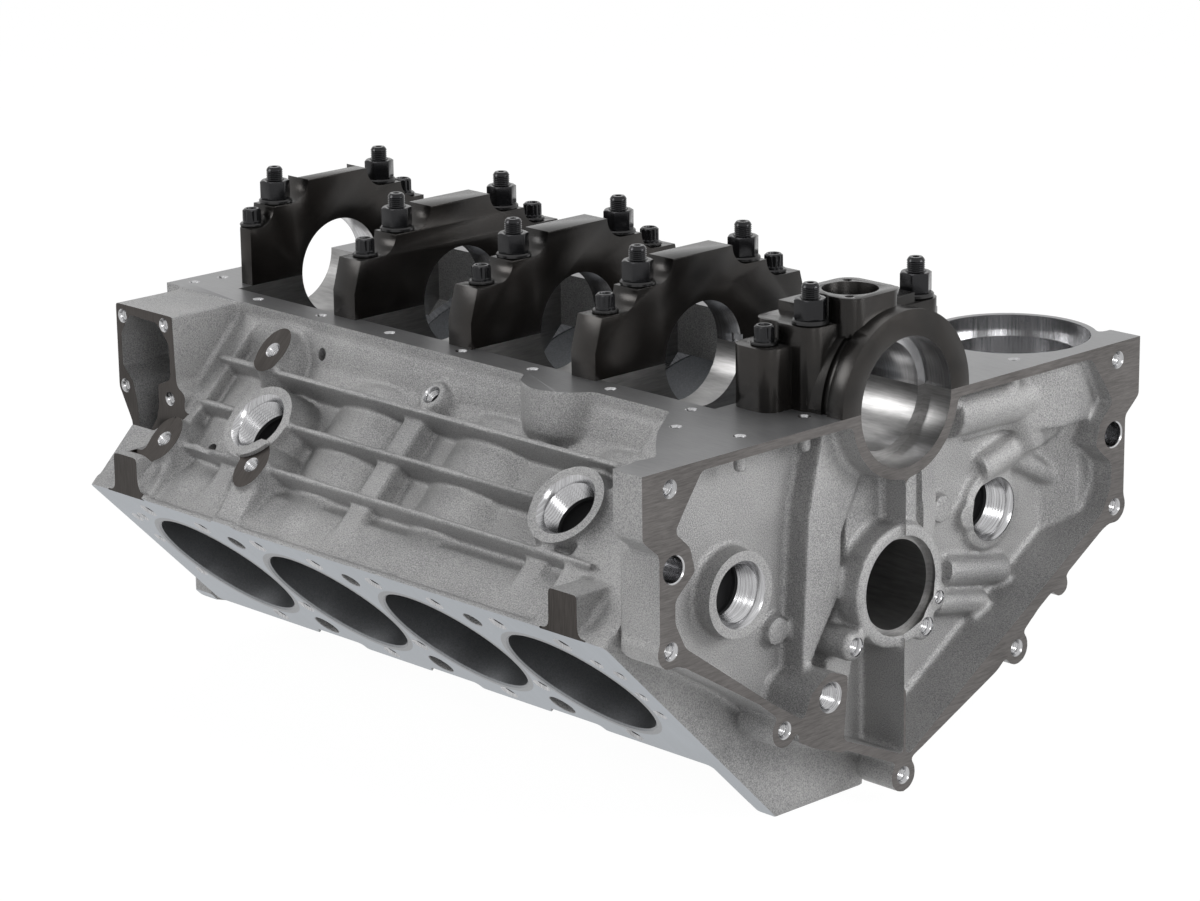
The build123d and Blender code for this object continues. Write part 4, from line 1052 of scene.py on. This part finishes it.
    def bays(self, grow: float) -> list[Piece]:
        """Makes the spaces between the bearing webs.

        Args:
            grow: how much larger they are than the real ones.

        Returns:
            One solid a bay, with the webs' finish on its flat ends.
        """
        floor = sqrt(2) * self.bore_opening
        width, low = self.bay_half_width + grow, self.bay_floor_half
        outline = [(width, self.bay_top), (width, width - floor - 2 * grow), (low, low - floor - grow)]
        outline += [(-y, z) for y, z in reversed(outline)]
        solids = []
        for a, b in zip(self.mains, self.mains[1:]):
            start, end = a + self.web_half - grow, b - self.web_half + grow
            solid = paint(drawn("bay", outline, start, end, ACROSS_CRANK), Skin.CAST)
            for polygon in solid.data.polygons:
                if abs(polygon.normal.x) > 0.9:
                    polygon.material_index = Skin.WEB.value
            solids.append(solid)
        return solids

    def liner_bores(self, grow: float) -> list[Piece]:
        """Makes the bores that hold the liners.

        Args:
            grow: how much larger their radii are than the real ones.

        Returns:
            One turned solid a bore, with its counterbore.
        """
        seat = self.deck_height - self.flange_thick
        bore = self.bore_radius + self.bore_clearance
        profile = stepped((bore + grow, self.bore_opening - 2, self.liner_bottom),
                          (self.liner_radius + grow, self.liner_bottom, seat),
                          (self.flange_radius + grow, seat, self.deck_height + self.stock + 2))
        return [paint(place(turned("liner_bore", profile, 96), (x, 0, 0), bank_axis(side)), Skin.BRIGHT)
                for side in BANKS for x in self.bores(side)]

    def raise_stock(self, obj: Piece) -> None:
        """Moves every machined face outwards, so that it can be cut back with a crisp edge.

        Args:
            obj: the copy of the CAD block.
        """
        shifts: dict[int, Vector] = {}
        for face in self.faces():
            normal, point = Vector(face.normal), Vector(face.point) * MM
            reach = face.reach * self.stock_spread * MM
            for vertex in obj.data.vertices:
                gap = vertex.co - point
                if abs(gap.dot(normal)) < ON_FACE and (not reach or gap.length < reach):
                    shifts[vertex.index] = shifts.get(vertex.index, Vector()) + normal * self.stock * MM
        for index, shift in shifts.items():
            obj.data.vertices[index].co += shift

    def skin(self) -> Piece:
        """Makes the soft cast skin.

        Returns:
            The skin, with stock on its machined faces and its holes filled.
        """
        body = merged_copy("cylinder_block", "block_casting")
        self.raise_stock(body)
        length, grow = self.bell_x - self.front_x, self.filler_grow
        fillers = self.hole_solids(True) + self.bays(self.bay_filler_grow) + self.liner_bores(grow)
        fillers.append(self.rod((self.front_x - 2, 0, 0), self.main_radius + grow, length + 4))
        cam = self.cam_radius + self.cam_mouth + grow
        fillers.append(self.rod((self.front_x - 2, 0, -self.cam_drop), cam, length - 2))
        fillers.append(self.rod((self.bell_x - self.seal_depth - 1, 0, 0), self.seal_radius + grow, 24))
        bottom = (*self.filter_place, -self.filter_depth - 1)
        fillers.append(self.rod(bottom, self.filter_rim + grow, 40, OFF_RAIL))
        body = joined([body] + fillers, "block_casting")
        report("filled")
        modified(body, "REMESH", mode="VOXEL", voxel_size=self.voxel * MM, adaptivity=0.0)
        flanks = [self.flank(side) for side in BANKS]
        for flank in flanks:
            cut(body, joined(flank.rows(), "troughs"))
        body = joined([body] + [boss for flank in flanks for boss in flank.bosses()], "block_casting")
        report("flanks carved")
        modified(body, "REMESH", mode="VOXEL", voxel_size=self.voxel * MM, adaptivity=0.0)
        modified(body, "SMOOTH", factor=0.5, iterations=self.softness)
        report("skin of %d faces", len(body.data.polygons))
        return body

    def thin(self, body: Piece) -> None:
        """Thins the skin where it is flat."""
        share = self.faces_wanted / 2 / len(body.data.polygons)
        if share < 1:
            modified(body, "DECIMATE", ratio=share)

    def cut_faces(self, body: Piece) -> None:
        """Cuts the machined faces back to size.

        Args:
            body: the skin with its stock.
        """
        pads = []
        for face in self.faces():
            reach = face.reach or self.plane_reach
            depth = self.pad_depth if face.reach else self.plane_depth
            if face.skin is Skin.CAST:
                cutter = turned("face_cutter", [(reach, 0.0), (reach, depth)], 64)
            else:
                cutter = slab("face_cutter", (-reach, -reach, 0), (reach, reach, depth))
            paint(place(cutter, face.point, face.normal), face.skin)
            if face.reach:
                pads.append(cutter)
            else:
                cut(body, cutter)
        cut(body, joined(pads, "pads"))

    def line_bores(self) -> Piece:
        """Makes the cutter of the crank's and cam's bores and of the filter cup.

        Returns:
            The three turned solids as one piece.
        """
        start, end = self.front_x - 4, self.bell_x + 6
        seal, mouth = self.bell_x - self.seal_depth, self.bell_x - self.cam_mouth_depth
        crank = turned("crank_bore", stepped((self.main_radius, start, seal),
                                             (self.seal_radius, seal, end)), 96)
        cam = turned("cam_bore", stepped((self.cam_radius, start, mouth),
                                         (self.cam_radius + self.cam_mouth, mouth, end)), 80)
        rim = -self.filter_rim_depth
        cup = turned("filter_cutter", stepped((self.filter_bore, -self.filter_depth, rim),
                                              (self.filter_rim, rim, 6)), 96)
        place(crank, (0, 0, 0), TO_BELL)
        place(cam, (0, 0, -self.cam_drop), TO_BELL)
        place(cup, (*self.filter_place, 0), OFF_RAIL)
        return joined([paint(crank, Skin.WEB), paint(cam, Skin.WEB), paint(cup, Skin.BRIGHT)], "line_bores")

    def build(self) -> Piece:
        """Builds the casting.

        Returns:
            The finished mesh, which stands for the CAD block.
        """
        body = self.skin()
        self.thin(body)
        paint(body, Skin.CAST)
        self.cut_faces(body)
        report("faces cut")
        bays = joined(self.bays(0.0), "bays")
        length = self.bell_x - self.front_x
        cut(bays, self.rod((self.front_x - 2, 0, -self.cam_drop), self.tunnel_radius, length))
        cut(body, bays)
        cut(body, joined(self.liner_bores(0.0), "liner_bores"))
        cut(body, self.line_bores())
        report("bores cut")
        cut(body, joined(self.hole_solids(False), "holes"))
        report("holes cut")
        smooth(body, 38.0)
        body.name = "block_casting"
        dress(body, casting_materials(), "cylinder_block")
        return body


@dataclass
class Liners:
    """The eight iron liners, each a turned tube with a flange and a honed bore."""

    bore: float = 50.8
    outer: float = 53.9
    flange: float = 55.5
    flange_thick: float = 6.0
    bottom: float = 96.0
    top: float = 229.24
    chamfer: float = 1.2

    def build(self, block: Casting) -> None:
        """Builds one liner and copies it to every bore.

        Args:
            block: the casting, which knows where its bores are.
        """
        seat, mouth = self.top - self.flange_thick, self.bore + self.chamfer
        outside = stepped((self.outer, self.bottom, seat), (self.flange, seat, self.top))
        inside = [(self.bore, self.bottom - 1), (self.bore, self.top - self.chamfer),
                  (mouth, self.top), (mouth, self.top + 1)]
        model = turned("liner", outside, 128)
        cut(model, turned("liner_inside", inside, 128))
        bores = [(side, x) for side in BANKS for x in block.bores(side)]
        for number, (side, x) in enumerate(bores, 1):
            piece = place(duplicate(model, f"liner_{number}"), (x, 0, 0), bank_axis(side))
            smooth(piece, 30.0)
            dress(piece, [LINER.material()], f"cylinder_liner_{number}")
        remove(model)


@dataclass
class Caps:
    """The five main bearing caps, with softly broken edges."""

    count: int = 5
    edge: float = 0.7
    edge_angle: float = 34.0
    flat_angle: float = 1.0
    bore_reach: float = 41.0

    def build(self) -> None:
        """Breaks the edges of each cap and marks its bright bore."""
        for number in range(1, self.count + 1):
            piece = merged_copy(f"main_cap_{number}", f"bearing_cap_{number}")
            with editing(piece):
                bpy.ops.mesh.dissolve_limited(angle_limit=radians(self.flat_angle))
            bevelled(piece, self.edge, self.edge_angle)
            finishes = [BLACK_CAP.material(), BRIGHT.material()]
            fill_slots(piece, finishes)
            self.brighten_bore(piece)
            smooth(piece, 32.0)
            dress(piece, finishes, f"main_cap_{number}")

    def brighten_bore(self, piece: Piece) -> None:
        """Gives the faces that line a cap's bore the bright finish, which is its second slot.

        Args:
            piece: the cap.
        """
        for polygon in piece.data.polygons:
            corners = [piece.data.vertices[index].co for index in polygon.vertices]
            farthest = max(sqrt(corner.y ** 2 + corner.z ** 2) for corner in corners) / MM
            facing_in = polygon.normal.y * polygon.center.y + polygon.normal.z * polygon.center.z < 0
            if farthest < self.bore_reach and (facing_in or abs(polygon.normal.x) > 0.9):
                polygon.material_index = 1


@dataclass
class Fasteners:
    """Studs, nuts, washers and outer bolts of the caps, each modelled once and copied."""

    caps: int = 5
    stud_radius: float = 5.56
    stud_root: float = -45.0
    stud_shank: float = 55.0
    stud_tip: float = 75.0
    socket_radius: float = 2.3
    socket_depth: float = 2.6
    nut_flats: float = 17.46
    nut_height: float = 12.5
    washer_radius: float = 11.1
    washer_thick: float = 3.0
    small_washer_radius: float = 8.2
    small_washer_thick: float = 2.2
    washer_play: float = 0.25
    bolt_radius: float = 4.76
    bolt_root: float = -68.0
    head_radius: float = 6.2
    head_height: float = 9.6
    head_valley: float = 0.885
    recess_radius: float = 3.4
    thread_pitch: float = 1.27
    thread_depth: float = 0.55
    nut_spin: float = 30.0
    spin_step: float = 7.0

    def thread(self, radius: float, low: float, high: float) -> list[Pair]:
        """The rings of a thread.

        Args:
            radius: its outer radius.
            low: where it starts.
            high: what it stays under.

        Returns:
            The rings, from the lowest up.
        """
        rings = []
        height = low
        while height + self.thread_pitch < high:
            rings += [(radius - self.thread_depth, height), (radius, height + self.thread_pitch / 2)]
            height += self.thread_pitch
        return rings

    def stud(self) -> Piece:
        """Makes a stud with a threaded tip.

        Returns:
            The stud, with a small hexagon socket in its end.
        """
        radius, tip = self.stud_radius, self.stud_tip
        profile = [(radius, self.stud_root), (radius, self.stud_shank)]
        profile += self.thread(radius, self.stud_shank + 0.5, tip - 1.2)
        body = turned("stud", profile + [(radius - 0.6, tip - 1.0), (radius - 1.5, tip)], 32)
        key = turned("socket", [(self.socket_radius, -self.socket_depth), (self.socket_radius, 1.0)], 6)
        cut(body, place(key, (0, 0, tip), OFF_RAIL))
        return body

    def nut(self) -> Piece:
        """Makes a hexagon nut.

        Returns:
            The nut, with chamfered corners and a washer face.
        """
        corner, half, height = self.nut_flats / sqrt(3), self.nut_flats / 2, self.nut_height
        body = turned("nut", [(corner, 0.0), (corner, height)], 6)
        cut(body, turned("crown", [(half + 0.2, -0.1), (corner + 0.9, 1.3), (corner + 0.9, height - 1.4),
                                   (half - 0.1, height + 0.1)], 48), "INTERSECT")
        bore = self.stud_radius + 0.15
        mouth = (self.stud_radius + 1.2, height + 0.2)
        cut(body, turned("nut_bore", [(bore, -1), (bore, height - 1), mouth], 32))
        return bevelled(body, 0.35, 35)

    def washer(self, outer: float, bolt: float, thick: float) -> Piece:
        """Makes a flat washer.

        Args:
            outer: its outer radius.
            bolt: the radius of what goes through it.
            thick: its thickness.

        Returns:
            The washer, with rounded outer edges.
        """
        edge, inner = thick * 0.28, bolt + self.washer_play
        body = turned("washer", [(outer - edge, 0), (outer, edge),
                                 (outer, thick - edge), (outer - edge, thick)])
        cut(body, turned("washer_hole", [(inner, -1), (inner, thick + 1)], 40))
        return body

    def outer_bolt(self) -> Piece:
        """Makes an outer bolt.

        Returns:
            The bolt, with a round flange under a twelve-pointed head.
        """
        radius, height = self.head_radius, self.head_height
        head = disc("outer_bolt_head", 24, radius)
        for vertex in list(head.data.vertices)[1::2]:
            vertex.co *= self.head_valley
        with editing(head):
            draw_out(height)
            face_outwards()
        cut(head, turned("crown", [(radius, 0), (radius, 2.2), (radius - 0.05, height - 1.2),
                                   (radius - 1.5, height)], 48), "INTERSECT")
        recess = [(self.recess_radius, height - 1.0), (self.recess_radius + 0.4, height + 0.5)]
        cut(head, turned("recess", recess, 24))
        flange = turned("flange", [(radius, 0), (radius, 1.2), (radius - 0.6, 1.9)])
        shank = turned("shank", [(self.bolt_radius, self.bolt_root), (self.bolt_radius, 0.3)], 28)
        return joined([head, flange, shank], "outer_bolt")

    def build(self) -> None:
        """Sets each kind of fastener at every cap, one piece a node."""
        models = {"studs": self.stud(), "stud_nuts": self.nut(),
                  "stud_washers": self.washer(self.washer_radius, self.stud_radius, self.washer_thick),
                  "outer_bolts": self.outer_bolt(),
                  "outer_bolt_washers": self.washer(self.small_washer_radius, self.bolt_radius,
                                                    self.small_washer_thick)}
        for number in range(1, self.caps + 1):
            for kind, model in models.items():
                self.set_pair(number, kind, model)
        for model in models.values():
            remove(model)

    def set_pair(self, number: int, kind: str, model: Piece) -> None:
        """Places the two fasteners of one kind on one cap, where the CAD has them.

        Args:
            number: the cap's number, from the front.
            kind: the end of the node's name.
            model: the fastener to copy.
        """
        node = f"cap_{number}_{kind}"
        low, high = (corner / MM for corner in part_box(node))
        radius = {"studs": self.stud_radius, "stud_nuts": self.nut_flats / 2,
                  "stud_washers": self.washer_radius, "outer_bolts": self.head_radius,
                  "outer_bolt_washers": self.small_washer_radius}[kind]
        level = {"studs": 0.0, "outer_bolts": high.z - self.head_height}.get(kind, low.z)
        copies = []
        for side in (-1, 1):
            origin = ((low.x + high.x) / 2, side * ((high.y - low.y) / 2 - radius), level)
            spin = self.nut_spin if kind == "stud_nuts" else self.spin_step * number * side
            copies.append(place(duplicate(model, "copy"), origin, OFF_RAIL, radians(spin)))
        piece = joined(copies, f"{kind}_{number}")
        smooth(piece, 30.0)
        if "washers" in kind:
            dress(piece, [WASHER.material()], node)
        else:
            dress(piece, [BLACK_BOLT.material()], node)


# The studio


@dataclass(frozen=True)
class Lamp:
    """A soft lamp that looks at the block. Its place is in millimetres, its size in metres."""

    name: str
    place: Point
    size: Pair
    watts: float


@dataclass
class Studio:
    """Floor, lamps, world and camera."""

    floor_level: float = -252.0
    floor_size: float = 14.0
    floor_tone: float = 0.8
    floor_rough: float = 0.9
    glow: float = 1.05
    glow_share: float = 0.93
    sky: Point = (0.62, 0.64, 0.67)
    sky_strength: float = 0.30
    lamps: tuple[Lamp, ...] = (Lamp("side_softbox", (-1700, -2200, 1500), (1.4, 1.2), 34.0),
                               Lamp("rear_softbox", (2500, 1100, 1000), (1.4, 1.2), 46.0),
                               Lamp("top_softbox", (-700, 300, 2600), (1.8, 1.6), 16.0),
                               Lamp("near_softbox", (2600, -1300, 1100), (1.0, 0.8), 16.0))
    eye: Point = (1773.65, -1670.22, 603.35)
    forward: Point = (-0.69515, 0.66519, -0.27254)
    roll_drop: float = -0.0124
    focal: float = 117.16
    sensor: float = 36.0

    @staticmethod
    def white_for_camera(tree: bpy.types.NodeTree, lit: bpy.types.NodeSocket, white: bpy.types.NodeSocket,
                         output: bpy.types.NodeSocket) -> None:
        """Shows the camera and glossy rays one shader, and other rays another.

        Args:
            tree: the node tree.
            lit: the shader for the other rays.
            white: the shader for the camera, glossy and transmission rays.
            output: the socket that takes the mix.
        """
        path = tree.nodes.new("ShaderNodeLightPath").outputs
        seen = path["Is Camera Ray"]
        for ray in ("Is Glossy Ray", "Is Transmission Ray"):
            either = tree.nodes.new("ShaderNodeMath")
            either.operation = "MAXIMUM"
            tree.links.new(seen, either.inputs[0])
            tree.links.new(path[ray], either.inputs[1])
            seen = either.outputs[0]
        mix = tree.nodes.new("ShaderNodeMixShader")
        for source, target in ((seen, mix.inputs["Fac"]), (lit, mix.inputs[1]), (white, mix.inputs[2]),
                               (mix.outputs[0], output)):
            tree.links.new(source, target)

    def world(self) -> None:
        """A pale even world, white where the camera sees it."""
        world = bpy.data.worlds.new("studio")
        bpy.context.scene.world = world
        world.use_nodes = True
        tree = world.node_tree
        sky = tree.nodes["Background"]
        sky.inputs["Color"].default_value = (*self.sky, 1.0)
        sky.inputs["Strength"].default_value = self.sky_strength
        white = tree.nodes.new("ShaderNodeBackground")
        white.inputs["Color"].default_value = (1.0, 1.0, 1.0, 1.0)
        self.white_for_camera(tree, sky.outputs[0], white.outputs[0],
                              tree.nodes["World Output"].inputs["Surface"])

    def floor(self) -> None:
        """A pale plain floor under the block."""
        deselect()
        bpy.ops.mesh.primitive_plane_add(size=self.floor_size, location=(0, 0, self.floor_level * MM))
        floor = bpy.context.object
        floor.name = "studio_floor"
        settle(floor)
        material = bpy.data.materials.new("studio_floor")
        material.use_nodes = True
        tree = material.node_tree
        shader = tree.nodes["Principled BSDF"]
        shader.inputs["Base Color"].default_value = (self.floor_tone,) * 3 + (1.0,)
        shader.inputs["Roughness"].default_value = self.floor_rough
        glow = tree.nodes.new("ShaderNodeEmission")
        glow.inputs["Color"].default_value = (1.0, 1.0, 1.0, 1.0)
        glow.inputs["Strength"].default_value = self.glow
        blend = tree.nodes.new("ShaderNodeMixShader")
        blend.inputs["Fac"].default_value = self.glow_share
        tree.links.new(shader.outputs[0], blend.inputs[1])
        tree.links.new(glow.outputs[0], blend.inputs[2])
        self.white_for_camera(tree, shader.outputs[0], blend.outputs[0],
                              tree.nodes["Material Output"].inputs["Surface"])
        floor.data.materials.append(material)

    @staticmethod
    def light(lamp: Lamp) -> None:
        """Adds a lamp and turns it to the block.

        Args:
            lamp: its name, place, size and power.
        """
        data = bpy.data.lights.new(lamp.name, "AREA")
        data.shape = "RECTANGLE"
        data.size, data.size_y = lamp.size
        data.energy = lamp.watts
        light = bpy.data.objects.new(lamp.name, data)
        bpy.context.scene.collection.objects.link(light)
        light.location = Vector(lamp.place) * MM
        light.rotation_euler = (-light.location).to_track_quat("-Z", "Y").to_euler()

    def camera(self) -> None:
        """The camera at the photo's angle, with its small roll."""
        data = bpy.data.cameras.new("camera")
        data.sensor_width = self.sensor
        data.lens = self.focal
        camera = bpy.data.objects.new("camera", data)
        bpy.context.scene.collection.objects.link(camera)
        forward = Vector(self.forward).normalized()
        right = forward.cross(UP).normalized()
        up = right.cross(forward)
        turn = self.roll_drop / up.z
        right = (right * cos(turn) + up * sin(turn)).normalized()
        up = right.cross(forward)
        facing = Matrix((right, up, -forward)).transposed().to_4x4()
        camera.matrix_world = Matrix.Translation(Vector(self.eye) * MM) @ facing
        bpy.context.scene.camera = camera

    def build(self) -> None:
        """Sets up the whole studio."""
        bpy.context.scene.view_settings.view_transform = "Standard"
        self.world()
        self.floor()
        for lamp in self.lamps:
            self.light(lamp)
        self.camera()


def main() -> None:
    """Builds every piece in order and sets up the studio."""
    block = Casting()
    block.build()
    Liners().build(block)
    Caps().build()
    Fasteners().build()
    Studio().build()
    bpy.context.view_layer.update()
    report("all built")


if __name__ == "__main__":
    main()
